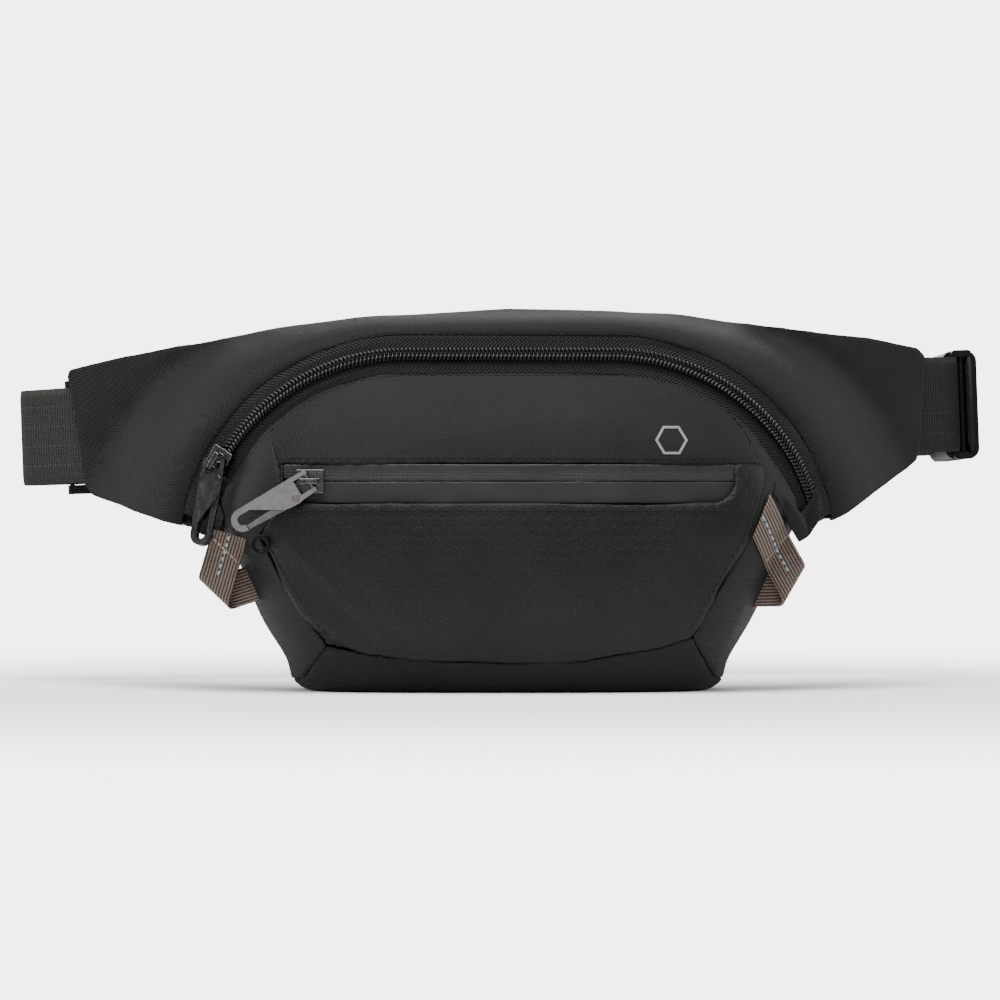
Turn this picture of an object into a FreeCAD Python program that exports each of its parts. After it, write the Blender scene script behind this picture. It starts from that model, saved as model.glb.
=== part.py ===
import FreeCAD, Part
import math
import os

# A waist pack with a curved back, two tapering wings, an arched main zip, a front pocket
# with a covered zip and a webbing belt that closes behind it with a side-release buckle.
# +X is the wearer's left, +Z is up and the pouch faces -Y. Everything is in millimetres.
# The shapes are set out from the middle of the waist side, then moved so that the origin
# is the centre of the flat base.

V = FreeCAD.Vector
os.makedirs("parts", exist_ok=True)

# --- driving dimensions -------------------------------------------------------------
BASE_TO_WAIST = 20.0        # from the base's centre back to the waist side
WAIST_RADIUS = 280.0        # curve of the side that lies on the body
PANEL = 2.0                 # sewn fabric with its backing
BACK_PANEL = 3.0            # spacer mesh against the body
WING_DEPTH = 6.5            # front skin of a wing, in front of the back panel
FOAM = 5.0                  # padding behind the pouch
LINING = 0.8
LINER_SIDE = 3.0            # the main lining, inside the pouch's outer faces
LINER_FRONT = 17.0
LINER_FLOOR = 4.0
FIT_GAP = 0.2               # between layers that lie on each other

ARCH_HALF_FLAT = 39.0       # straight top of the main zip, from its middle
ARCH_RADIUS = 80.0          # round shoulders of the main zip
ARCH_TOP_Z = 127.0
ARCH_TOP_Y = -36.0
ARCH_TILT = 12.0            # the arch leans forward at the top, in degrees
TAPE_FACING = 32.0          # the tape faces outwards from the arch, in degrees
TAPE_HALF = 7.3
TAPE_THICK = 0.8
COIL_HALF = 2.9
COIL_THICK = 1.9
ARCH_END = 14.5             # angle of the chain's right end above the shoulder's centre
SLIDER_REST = 29.0          # angle of the closed slider above the left shoulder's centre
TAPE_END = 12.0             # angle of the tape's ends

BASE_HALF = 76.0            # half the width of the base
BASE_FRONT_Y = -41.0
BASE_TRIM = 0.5             # cut off level, so that the base is a true plane
FULLEST_Z = 60.0            # height where the pouch stands furthest forward
FULLEST_Y = -62.5
SIDE_CURVE = 0.75           # how quickly the pouch widens above the base
CROWN_SHARE = 0.30          # part of the pouch's depth that is a gentle crown
EDGE_POWER = 11             # how late the front turns into the sides

POCKET_Z = 79.0             # slit of the pocket zip
POCKET_CROWN = 450.0        # plan radius of the pocket zip
POCKET_LEFT = -85.0
POCKET_RIGHT = 84.0
POCKET_ABOVE = 6.5
POCKET_BELOW = 8.5
POCKET_RECESS = 1.0
FOLD_DROP = 4.0             # the fold above the pocket zip runs lower past its left end
POCKET_SLIDER_X = -74.8
POCKET_COIL_HALF = 2.6
POCKET_COIL_THICK = 1.6
POCKET_BAG_HALF = 58.0      # the lining behind the pocket zip
POCKET_BAG_LOW = 34.0
POCKET_BAG_HIGH = 88.0
POCKET_BAG_DEPTH = 10.4

WEBBING = 38.0
WEBBING_THICK = 1.6
BELT_Z = 105.0              # middle of the belt
BELT_ROLL = 2.1             # the belt climbs to the right, in degrees
LOOP_WEBBING_THICK = 1.4

LAYER_PITCH = 4.2           # between the belt's two layers
BUCKLE_WIDE = WEBBING + 6.0
BUCKLE_THICK = 14.0
RUNNING = 0.3               # clearance between pieces that move past each other
PIN_CLEARANCE = 0.05

# --- frames -------------------------------------------------------------------------
TILT = math.radians(ARCH_TILT)
FACING = math.radians(TAPE_FACING)
ARCH_Z = ARCH_TOP_Z - ARCH_RADIUS * math.cos(TILT)
ARCH_Y = ARCH_TOP_Y + ARCH_RADIUS * math.sin(TILT)
X_AXIS = V(1, 0, 0)
UP_ARCH = V(0, -math.sin(TILT), math.cos(TILT))
OUT_ARCH = X_AXIS.cross(UP_ARCH)
ARCH_CENTRE = V(0, ARCH_Y, ARCH_Z)
WAIST_CENTRE = V(0, WAIST_RADIUS, 0)
INNER_RADIUS = ARCH_RADIUS - TAPE_HALF * math.cos(FACING)
OUTER_RADIUS = ARCH_RADIUS + TAPE_HALF * math.cos(FACING)
SEAM_RISE = TAPE_HALF * math.sin(FACING)


def save(name, shape):
    placed = shape.copy()
    placed.translate(V(0, BASE_TO_WAIST, 0))
    placed.exportStep(f"parts/{name}.step")
    box = placed.BoundBox
    print(f"{name:24s} {len(shape.Solids)} solids {shape.Volume:9.0f} mm3 {shape.isValid()}",
          f"x {box.XMin:.1f} {box.XMax:.1f} y {box.YMin:.1f} {box.YMax:.1f}",
          f"z {box.ZMin:.1f} {box.ZMax:.1f}")


def report_axis(name, point, axis):
    at = point + V(0, BASE_TO_WAIST, 0)
    print(f"axis {name}: pos_m {[round(c / 1000, 6) for c in at]}",
          f"axis {[round(c, 6) for c in axis]}")


def frame_matrix(origin, x_dir, y_dir, z_dir):
    m = FreeCAD.Matrix()
    for column, vector in enumerate((x_dir, y_dir, z_dir)):
        for row, value in enumerate(vector):
            setattr(m, f"A{row + 1}{column + 1}", value)
    m.A14, m.A24, m.A34 = origin
    return m


def place(shape, origin, x_dir, y_dir, z_dir):
    moved = shape.copy()
    there = FreeCAD.Placement(frame_matrix(origin, x_dir, y_dir, z_dir))
    moved.Placement = there.multiply(shape.Placement)
    return moved


def on_arch(shape):
    return place(shape, ARCH_CENTRE, X_AXIS, UP_ARCH, OUT_ARCH)


def box(x0, x1, y0, y1, z0, z1):
    return Part.makeBox(x1 - x0, y1 - y0, z1 - z0, V(x0, y0, z0))


def flat_face(points):
    return Part.Face(Part.makePolygon([*points, points[0]]))


def front_prism(outline, y0=-120.0, y1=160.0):
    """A prism along Y over an outline of (x, z) points."""
    return flat_face([V(x, y0, z) for x, z in outline]).extrude(V(0, y1 - y0, 0))


def waist_cylinder(radius):
    return Part.makeCylinder(radius, 400, WAIST_CENTRE - V(0, 0, 100))


def waist_layer(inner, outer):
    return waist_cylinder(outer).cut(waist_cylinder(inner))


def fused(shapes):
    whole = shapes[0]
    for other in shapes[1:]:
        whole = whole.fuse(other)
    return whole.removeSplitter()


# --- pouch front --------------------------------------------------------------------
def seam_y(z):
    """Y of the plane that holds the pouch front's sewn edge."""
    up = (z - ARCH_Z + SEAM_RISE * math.sin(TILT)) / math.cos(TILT)
    return ARCH_Y - up * math.sin(TILT) - SEAM_RISE * math.cos(TILT)


def arch_z(radius, angle):
    return ARCH_Z + radius * math.sin(angle) * math.cos(TILT) - SEAM_RISE * math.sin(TILT)


def front_y(z):
    top_z = arch_z(INNER_RADIUS, math.pi / 2)
    if z < FULLEST_Z:
        share = (1 - z / FULLEST_Z) ** 2.4
        return FULLEST_Y + (BASE_FRONT_Y - FULLEST_Y) * share
    share = min(1.0, (z - FULLEST_Z) / (top_z - FULLEST_Z)) ** 2.2
    return FULLEST_Y + (seam_y(top_z) - FULLEST_Y) * share


def half_width(z):
    """Half the pouch's width below the main zip."""
    shoulder = math.radians(16)
    top = arch_z(INNER_RADIUS, shoulder)
    widest = ARCH_HALF_FLAT + INNER_RADIUS * math.cos(shoulder)
    return BASE_HALF + (widest - BASE_HALF) * (max(z, 0) / top) ** SIDE_CURVE


def pouch_rows(side_inset, floor_z):
    """(z, half width) of each level line, from the base to the top of the arch."""
    radius = INNER_RADIUS - side_inset
    first = math.radians(16)
    low = arch_z(radius, first)
    rows = []
    for share in (0, 0.14, 0.34, 0.58, 0.8):
        z = floor_z + (low - floor_z) * share
        rows.append((z, half_width(z) - side_inset))
    for step in range(7):
        angle = first + (math.pi / 2 - first) * step / 6
        rows.append((arch_z(radius, angle), ARCH_HALF_FLAT + radius * math.cos(angle)))
    return rows


def pouch_block(side_inset, front_inset, floor_z, columns=29):
    """The pouch as one solid behind its front skin."""
    grid = []
    for z, half in pouch_rows(side_inset, floor_z):
        depth = max(0.0, seam_y(z) - front_y(z) - front_inset)
        row = []
        for i in range(columns):
            q = math.sin(math.pi / 2 * (2 * i / (columns - 1) - 1))
            drop = CROWN_SHARE * q * q + (1 - CROWN_SHARE) * abs(q) ** EDGE_POWER
            row.append(V(half * q, seam_y(z) - depth * (1 - drop), z))
        grid.append(row)
    surface = Part.BSplineSurface()
    surface.interpolate(grid)
    return surface.toShape().extrude(V(0, 120, 0))


# --- wings and the panel over the top -----------------------------------------------
def wing_y(x, z):
    """Y of the front skin from wing to wing, outside the arch."""
    up = (z - ARCH_Z - SEAM_RISE * math.sin(TILT)) / math.cos(TILT)
    plane = ARCH_Y - up * math.sin(TILT) + SEAM_RISE * math.cos(TILT)
    beside = max(abs(x) - ARCH_HALF_FLAT, 0.0)
    away = math.hypot(beside, up) - OUTER_RADIUS
    steep = math.sin(math.atan2(max(up, 0.0), beside)) ** 2
    reach = WING_REACH + (TOP_REACH - WING_REACH) * steep
    t = min(1.0, max(0.0, away / reach))
    fall = steep * (1 - t * t) + (1 - steep) * (1 - t * t * (3 - 2 * t))
    skin = WAIST_RADIUS + BACK_PANEL + WING_DEPTH
    flat = WAIST_RADIUS - math.sqrt(skin * skin - x * x)
    return flat + (plane - flat) * fall


WING_REACH = 44.0
TOP_REACH = 13.0

LEFT_TIP = [(-173.5, 122.0), (-172.5, 124.8)]
TOP_EDGE = [(-150, 129.6), (-110, 135.8), (-59, 142.4), (0, 146), (57, 144.4),
            (110, 140.4), (150, 136.2)]
RIGHT_TIP = [(165, 133.6), (168.5, 130.5), (166.3, 93.5), (164.6, 88.6), (160.4, 85)]
RIGHT_UNDER = [(129.6, 66.8), (118, 61.5)]
LEFT_UNDER = [(-114, 60), (-132, 64), (-163, 74.6), (-166.6, 79)]


def wing_outline(inset=0.0):
    """The front outline of the wings, closed across the pouch."""
    across = [(100, 61.5), (-100, 60)]
    points = LEFT_TIP + TOP_EDGE + RIGHT_TIP + RIGHT_UNDER + across + LEFT_UNDER
    if not inset:
        return points
    wire = Part.makePolygon([V(x, z, 0) for x, z in [*points, points[0]]])
    inner = wire.makeOffset2D(-inset, 2)
    corners = [vertex.Point for vertex in inner.OrderedVertexes]
    return [(p.x, p.y) for p in corners]


def wing_block(shift, columns=45, rows=19):
    x0, x1, z0, z1 = -190.0, 190.0, 48.0, 154.0
    grid = []
    for j in range(rows):
        z = z0 + (z1 - z0) * j / (rows - 1)
        xs = [x0 + (x1 - x0) * i / (columns - 1) for i in range(columns)]
        grid.append([V(x, wing_y(x, z) + shift, z) for x in xs])
    surface = Part.BSplineSurface()
    surface.interpolate(grid)
    return surface.toShape().extrude(V(0, 150, 0))


def capsule(radius, n0, n1):
    h = ARCH_HALF_FLAT
    edges = [
        Part.makeLine(V(-h, radius, n0), V(h, radius, n0)),
        Part.Arc(V(h, radius, n0), V(h + radius, 0, n0), V(h, -radius, n0)).toShape(),
        Part.makeLine(V(h, -radius, n0), V(-h, -radius, n0)),
        Part.Arc(V(-h, -radius, n0), V(-h - radius, 0, n0), V(-h, radius, n0)).toShape(),
    ]
    return Part.Face(Part.Wire(edges)).extrude(V(0, 0, n1 - n0))


def body_outline():
    """The wings' outline carried down round the pouch's back."""
    levels = [60, 48, 34, 20, 8, 0]
    right = [(half_width(z), z) for z in levels]
    left = [(-half_width(z), z) for z in reversed(levels)]
    return LEFT_TIP + TOP_EDGE + RIGHT_TIP + RIGHT_UNDER + right + left + LEFT_UNDER


def front_panel_outline():
    """Side and bottom seams of the two front panels."""
    return [(-90, 97), (-86, 82), (-86, 70), (-94, 59), (-85.5, 42), (-77.4, 29), (-69, 17.5),
            (-52, 14), (-29, 12), (0, 11), (29, 12), (55, 16.5), (68, 20.5), (77.5, 37.5),
            (89, 58), (94.5, 76), (95.5, 82), (89, 97), (60, 135), (-60, 135)]


def bottom_outline():
    seam = [p for p in front_panel_outline() if p[1] < 21]
    return [(-130, -10), (-130, -4), (-78, 5), *seam, (78, 5), (130, -4), (130, -10)]


def pocket_window(inset=0.0):
    """Opening of the covered pocket zip, with its right end rounded."""
    low = POCKET_Z - POCKET_BELOW + inset
    high = POCKET_Z + POCKET_ABOVE - inset
    left, right = POCKET_LEFT + inset, POCKET_RIGHT - inset
    bend = 9.0
    corner = [(right - bend * (1 - math.sin(a)), low + bend * (1 - math.cos(a)))
              for a in (math.radians(90 * k / 5) for k in range(6))]
    return [(left, high), (left, low), *corner, (right, high)]


# Sewn shell of the pouch
hollow = pouch_block(PANEL, PANEL, PANEL)
trimmed = pouch_block(0, 0, -BASE_TRIM).common(box(-220, 220, -120, 200, 0, 200))
shell = trimmed.cut(hollow).cut(waist_cylinder(WAIST_RADIUS + BACK_PANEL))
behind_seam = on_arch(box(-220, 220, 11, 200, -120, SEAM_RISE + 0.02))
shell = shell.cut(behind_seam)
front_zone = front_prism(front_panel_outline(), -120, -4)
bottom_zone = front_prism(bottom_outline())
window = front_prism(pocket_window(), -120, -4)
front = shell.common(front_zone)
fold_z = POCKET_Z + POCKET_ABOVE
above_fold = box(POCKET_LEFT - 1, 220, -120, 0, fold_z, 200)
beside_fold = box(-220, POCKET_LEFT - 1, -120, 0, fold_z - FOLD_DROP, 200)
upper_zone = above_fold.fuse(beside_fold)
save("front_panel_upper", front.common(upper_zone).cut(window))
save("front_panel_lower", front.cut(upper_zone).cut(window))
save("bottom_gusset", shell.common(bottom_zone))
sides = shell.cut(front_zone).cut(bottom_zone)
save("side_gusset_left", sides.common(box(-220, -20, -120, 120, -10, 200)))
save("side_gusset_right", sides.common(box(20, 220, -120, 120, -10, 200)))

# Wings, and the panel over the top between them
hole = on_arch(capsule(OUTER_RADIUS + 0.05, -90, 60))
waist_core = waist_cylinder(WAIST_RADIUS + BACK_PANEL)
skin = wing_block(0).common(front_prism(wing_outline())).cut(waist_core)
inside = wing_block(PANEL).common(front_prism(wing_outline(PANEL))).cut(waist_core)
upper_panel = skin.cut(inside).cut(hole)

# --- belt route, in the belt's own level plan ---------------------------------------
STRAP_R = WAIST_RADIUS + BACK_PANEL + FIT_GAP + WEBBING_THICK / 2
TAB_R = STRAP_R + 0.6        # room for the belt's roll against the round back
TAB_TAIL = 7.0
LEFT_EXIT = math.radians(-36.5)
RIGHT_EXIT = math.radians(36.0)
LEFT_TURN = 11.0
RIGHT_TURN = 15.0
BACK_LEFT = V(-190.0, 86.0, 0)
BUCKLE_X = 186.5
NEAR_BAR_Y = 68.0
NEAR_LOOP = 2.7
FAR_BAR_Y = NEAR_BAR_Y + 63.0
SEWN_RIGHT = math.radians(25.0)
ROLL = math.radians(BELT_ROLL)
SHORTEST_EDGE = 0.001
GLIDE_AT = 26.0             # from the belt's fold to the tri-glide's centre bar
GLIDE_BARS = 11.0
GLIDE_BAR = 1.0


def on_waist(angle, radius=STRAP_R):
    return V(radius * math.sin(angle), WAIST_RADIUS - radius * math.cos(angle), 0)


def ribbon(points, radii, thick, wide=WEBBING, offset=0.0):
    """Webbing on edge along a plan route with round corners; offset shifts it to the left."""
    pieces = []
    for side in (offset + thick / 2, offset - thick / 2):
        edges, at = [], None
        for i in range(len(points) - 1):
            d = (points[i + 1] - points[i]).normalize()
            n = V(-d.y, d.x, 0)
            start = at or points[0] + n * side
            if i == len(points) - 2:
                edges.append(Part.makeLine(start, points[-1] + n * side))
                ends = points[-1] + n * side
                break
            e = (points[i + 2] - points[i + 1]).normalize()
            turn = math.atan2(d.cross(e).z, d.dot(e))
            hand = 1 if turn > 0 else -1
            radius = radii[i]
            cut = radius * math.tan(abs(turn) / 2)
            centre = points[i + 1] - d * cut + n * hand * radius
            r = radius - hand * side
            m = V(-e.y, e.x, 0)
            p, q = centre - n * hand * r, centre - m * hand * r
            half = FreeCAD.Rotation(V(0, 0, 1), math.degrees(turn / 2))
            mid = centre + half.multVec(p - centre)
            if start.distanceToPoint(p) > SHORTEST_EDGE:
                edges.append(Part.makeLine(start, p))
            edges.append(Part.Arc(p, mid, q).toShape())
            at = q
        pieces.append((edges, ends))
    (left, left_end), (right, right_end) = pieces
    start_dir = (points[1] - points[0]).normalize()
    across = V(-start_dir.y, start_dir.x, 0)
    first = Part.makeLine(points[0] + across * (offset + thick / 2),
                          points[0] + across * (offset - thick / 2))
    last = Part.makeLine(left_end, right_end)
    face = Part.Face(Part.Wire(Part.__sortEdges__([*left, last, *right, first])))
    solid = face.extrude(V(0, 0, wide))
    solid.translate(V(0, 0, -wide / 2))
    return solid


def rolled(shape):
    return place(shape, V(0, 0, BELT_Z), V(math.cos(ROLL), 0, math.sin(ROLL)), V(0, 1, 0),
                 V(-math.sin(ROLL), 0, math.cos(ROLL)))


def rolled_point(p):
    return V(p.x * math.cos(ROLL) - p.z * math.sin(ROLL), p.y,
             BELT_Z + p.x * math.sin(ROLL) + p.z * math.cos(ROLL))


def bar_loop(bar_y, radius, side):
    """Webbing half way round a buckle's bar, on its +Y (1) or -Y (-1) side."""
    z = -WEBBING / 2
    ring = Part.makeCylinder(radius + WEBBING_THICK / 2, WEBBING, V(BUCKLE_X, bar_y, z))
    ring = ring.cut(Part.makeCylinder(radius - WEBBING_THICK / 2, WEBBING, V(BUCKLE_X, bar_y, z)))
    y0, y1 = sorted((bar_y, bar_y + side * 20))
    return ring.common(box(BUCKLE_X - 20, BUCKLE_X + 20, y0, y1, -30, 30))


def leave(angle, length):
    """A point straight on from where the belt leaves a wing."""
    hand = 1 if angle > 0 else -1
    return on_waist(angle) + V(hand * math.cos(angle), abs(math.sin(angle)), 0) * length


def waist_corner(a0, a1, radius=STRAP_R):
    middle, half = (a0 + a1) / 2, abs(a1 - a0) / 2
    return on_waist(middle, radius / math.cos(half))


sewn_left = math.radians(-26.0)
outer_left = leave(LEFT_EXIT, 27.5)
corner_right = V(BUCKLE_X, FAR_BAR_Y + 21.0, 0)
back_dir = (corner_right - BACK_LEFT).normalize()
belt_points = [on_waist(sewn_left), waist_corner(sewn_left, LEFT_EXIT), outer_left,
               BACK_LEFT, corner_right, V(BUCKLE_X, FAR_BAR_Y, 0)]
belt_radii = [STRAP_R, 8.0, 4.5, RIGHT_TURN]
half_pitch = LAYER_PITCH / 2
belt_outer = ribbon(belt_points, belt_radii, WEBBING_THICK, offset=half_pitch)
glide_centre = BACK_LEFT + back_dir * GLIDE_AT
return_start = glide_centre
belt_inner = ribbon([return_start, corner_right, V(BUCKLE_X, FAR_BAR_Y, 0)],
                    [RIGHT_TURN], WEBBING_THICK, offset=-half_pitch)
loop = bar_loop(FAR_BAR_Y, half_pitch, -1)
strap_slot = rolled(ribbon(belt_points[:3], [STRAP_R], WEBBING_THICK + 2 * FIT_GAP,
                           WEBBING + 2 * FIT_GAP, half_pitch))
save("belt_webbing", rolled(belt_outer.fuse(loop).removeSplitter()))
back_left_way = V(-back_dir.y, back_dir.x, 0)
glide_bar = glide_centre - back_left_way * LAYER_PITCH
turn_ring = Part.makeCylinder(half_pitch + WEBBING_THICK / 2, WEBBING,
                              glide_bar - V(0, 0, WEBBING / 2))
turn_ring = turn_ring.cut(Part.makeCylinder(half_pitch - WEBBING_THICK / 2, WEBBING,
                                            glide_bar - V(0, 0, WEBBING / 2)))
ahead = place(box(0, 20, -20, 20, -40, 40), glide_bar, back_dir, back_left_way, V(0, 0, 1))
turn_ring = turn_ring.cut(ahead)
save("belt_return", rolled(belt_inner.fuse(turn_ring).removeSplitter()))

tab_x = BUCKLE_X - NEAR_LOOP
leaves_right = on_waist(RIGHT_EXIT, TAB_R)
exit_dir = V(math.cos(RIGHT_EXIT), math.sin(RIGHT_EXIT), 0)
reach = (tab_x - leaves_right.x) / exit_dir.x
tab_points = [on_waist(SEWN_RIGHT, TAB_R), waist_corner(SEWN_RIGHT, RIGHT_EXIT, TAB_R),
              leaves_right + exit_dir * reach, V(tab_x, NEAR_BAR_Y, 0)]
tab = ribbon(tab_points, [TAB_R, 3.0], WEBBING_THICK)
tab = tab.fuse(bar_loop(NEAR_BAR_Y, NEAR_LOOP, 1))
half_web, half_strap = WEBBING / 2, WEBBING_THICK / 2
tab_end_x = BUCKLE_X + NEAR_LOOP
tab = tab.fuse(box(tab_end_x - half_strap, tab_end_x + half_strap, NEAR_BAR_Y - TAB_TAIL,
                   NEAR_BAR_Y, -half_web, half_web))
tab_slot = rolled(ribbon(tab_points, [TAB_R, 3.0], WEBBING_THICK + 2 * FIT_GAP,
                         WEBBING + 2 * FIT_GAP))
save("belt_tab_right", rolled(tab.removeSplitter()))
save("upper_body_panel", upper_panel.cut(strap_slot).cut(tab_slot))

# Back panel and paddings
back = waist_layer(WAIST_RADIUS, WAIST_RADIUS + BACK_PANEL)
save("back_panel", back.common(front_prism(body_outline())))
foam_outline = [(-66, 6), (66, 6), (86, 40), (86, 108), (-86, 108), (-86, 40)]
foam_layer = waist_layer(WAIST_RADIUS + BACK_PANEL + FIT_GAP,
                         WAIST_RADIUS + BACK_PANEL + FOAM + FIT_GAP)
save("back_foam", foam_layer.common(front_prism(foam_outline)))
pad = wing_block(PANEL + FIT_GAP).common(front_prism(wing_outline(PANEL + FIT_GAP)))
pad = pad.cut(waist_cylinder(WAIST_RADIUS + BACK_PANEL + WEBBING_THICK + 6 * FIT_GAP))
pad = pad.cut(strap_slot).cut(tab_slot)
save("wing_foam_left", pad.common(box(-220, -128, -60, 120, 0, 200)))
save("wing_foam_right", pad.common(box(128, 220, -60, 120, 0, 200)))

# Linings
liner = pouch_block(LINER_SIDE, LINER_FRONT, LINER_FLOOR)
liner = liner.cut(pouch_block(LINER_SIDE + LINING, LINER_FRONT + LINING, LINER_FLOOR + LINING))
liner = liner.cut(waist_cylinder(WAIST_RADIUS + BACK_PANEL + FOAM + 3 * FIT_GAP))
liner = liner.cut(behind_seam)
save("main_lining", liner)
pocket_axis = V(0, front_y(POCKET_Z) + POCKET_CROWN, 0)


def pocket_layer(inner, outer):
    """A layer behind the front face, by its depth behind the crown."""
    ring = Part.makeCylinder(POCKET_CROWN - outer, 260, pocket_axis - V(0, 0, 60))
    return Part.makeCylinder(POCKET_CROWN - inner, 260, pocket_axis - V(0, 0, 60)).cut(ring)


pocket_bag = box(-POCKET_BAG_HALF, POCKET_BAG_HALF, -120, 0, POCKET_BAG_LOW, POCKET_BAG_HIGH)
save("pocket_lining", pocket_layer(POCKET_BAG_DEPTH, POCKET_BAG_DEPTH + LINING).common(pocket_bag))

# --- main zip -----------------------------------------------------------------------


def band(w0, w1, t0, t1, left_end, right_end):
    """A strip of the main zip: w outwards across the tape, t up from its face."""
    c, s = math.cos(FACING), math.sin(FACING)
    section = [(ARCH_RADIUS + w * c + t * s, t * c - w * s)
               for w, t in ((w0, t0), (w1, t0), (w1, t1), (w0, t1))]
    up = flat_face([V(ARCH_HALF_FLAT, r, n) for r, n in section])
    over = up.extrude(V(-2 * ARCH_HALF_FLAT, 0, 0))
    right = up.revolve(V(ARCH_HALF_FLAT, 0, 0), V(0, 0, 1), -(90 - right_end))
    at_left = flat_face([V(-ARCH_HALF_FLAT, r, n) for r, n in section])
    left = at_left.revolve(V(-ARCH_HALF_FLAT, 0, 0), V(0, 0, 1), 90 - left_end)
    return on_arch(fused([over, right, left]))


CHAIN_GAP = 0.1
NECK_HALF = 0.6
slot = band(-NECK_HALF - RUNNING, NECK_HALF + RUNNING, -3, 4, TAPE_END - 4, 150)
slot = slot.common(on_arch(box(-200, -ARCH_HALF_FLAT - 1, -50,
                               ARCH_RADIUS * math.sin(math.radians(SLIDER_REST)), -60, 60)))
tape_outer = band(CHAIN_GAP, TAPE_HALF, -TAPE_THICK, 0, TAPE_END, TAPE_END)
tape_inner = band(-TAPE_HALF, -CHAIN_GAP, -TAPE_THICK, 0, TAPE_END, TAPE_END)
save("main_zip_tape_outer", tape_outer.cut(slot))
save("main_zip_tape_inner", tape_inner.cut(slot))
save("main_zip_coil_outer", band(CHAIN_GAP, COIL_HALF, 0, COIL_THICK, SLIDER_REST, ARCH_END))
save("main_zip_coil_inner", band(-COIL_HALF, -CHAIN_GAP, 0, COIL_THICK, SLIDER_REST, ARCH_END))

SLIDER_HALF = 5.2
SLIDER_WIDE = 4.4
SLIDER_PLATE = 1.3
CROWN_INNER = 2.6
CROWN_POST = 0.8
CROWN_HALF = 1.0
CROWN_CLEAR = 2.7
EYE_HEIGHT = 1.6


def slider(under, over, flange_low, flange_high):
    """A zip slider: x along the chain towards the closed side, z up from the tape."""
    top, bottom = over + SLIDER_PLATE, -under - SLIDER_PLATE
    body = [box(-SLIDER_HALF, SLIDER_HALF, -SLIDER_WIDE, SLIDER_WIDE, over, top)]
    body.append(box(-SLIDER_HALF, SLIDER_HALF, -SLIDER_WIDE, SLIDER_WIDE, bottom, -under))
    body.append(box(-SLIDER_HALF, -SLIDER_HALF + 2, -NECK_HALF, NECK_HALF, bottom, top))
    for y in (-SLIDER_WIDE, SLIDER_WIDE - 0.7):
        body.append(box(-SLIDER_HALF + 0.5, SLIDER_HALF, y, y + 0.7, flange_low, flange_high))
    for x in (-CROWN_INNER - CROWN_POST, CROWN_INNER):
        body.append(box(x, x + CROWN_POST, -CROWN_HALF, CROWN_HALF, top, top + CROWN_CLEAR))
    end = CROWN_INNER + CROWN_POST
    body.append(box(-end, end, -CROWN_HALF, CROWN_HALF, top + CROWN_CLEAR, top + CROWN_CLEAR + 1.1))
    return fused(body)


# --- carabiner pull, u down its length, v across to the gate, w out ------------------
PULL_THICK = 2.8
EYE_BAR = 0.8
PIN_AT = V(7.5, 3.0, 0)
PIN_RADIUS = 1.0
HOOK_AT = V(28.6, -0.2, 0)
HOOK_OUTER = 4.4
HOOK_INNER = 2.0
GATE_THICK = 1.2
GATE_TRAVEL = 10.0


def plate(points, thick):
    solid = flat_face([V(u, v, -thick / 2) for u, v in points]).extrude(V(0, 0, thick))
    return solid


def pull_body():
    half = PULL_THICK / 2
    bar = Part.makeCylinder(EYE_BAR, 8.2, V(0, -3.9, 0), V(0, 1, 0))
    arms = [plate([(-EYE_BAR, -4.6), (-EYE_BAR, -2.95), (5.4, -2.95), (5.4, -4.6)], 1.6),
            plate([(-EYE_BAR, 2.95), (-EYE_BAR, 4.5), (5.4, 4.9), (5.4, 2.95)], 1.6)]
    face = plate([(5.2, -4.6), (29, -4.6), (29, -2.2), (24.6, -2.2), (13.6, 4.6), (11, 5.2),
                  (7, 5.3), (5.2, 4.9)], PULL_THICK)
    ring = Part.makeCylinder(HOOK_OUTER, PULL_THICK, HOOK_AT - V(0, 0, half))
    ring = ring.cut(Part.makeCylinder(HOOK_INNER, PULL_THICK, HOOK_AT - V(0, 0, half)))
    ring = ring.common(box(HOOK_AT.x, 40, -6, 6, -3, 3))
    slot_half = GATE_THICK / 2 + 0.15
    room = [(4.9, 8), (4.9, 0.4), (7.5, 0.2), (25.0, -2.1), (HOOK_AT.x, -2.1), (HOOK_AT.x, 8)]
    body = fused([bar, *arms, face, ring]).cut(plate(room, 2 * slot_half))
    return body.cut(Part.makeCylinder(PIN_RADIUS, 8, PIN_AT - V(0, 0, 4)))


def pull_gate():
    eye = Part.makeCylinder(2.2, GATE_THICK, PIN_AT - V(0, 0, GATE_THICK / 2))
    arm = plate([(8, 1.2), (28.3, 2.2), (28.3, 3.9), (26, 4.0), (8, 5.1)], GATE_THICK)
    bore = Part.makeCylinder(PIN_RADIUS + PIN_CLEARANCE, 4, PIN_AT - V(0, 0, 2))
    return eye.fuse(arm).removeSplitter().cut(bore)


def pull_pin():
    half = PULL_THICK / 2
    pin = Part.makeCylinder(PIN_RADIUS, PULL_THICK, PIN_AT - V(0, 0, half))
    heads = [Part.makeCylinder(1.6, 0.35, PIN_AT + V(0, 0, z)) for z in (half, -half - 0.35)]
    return fused([pin, *heads])


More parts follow.
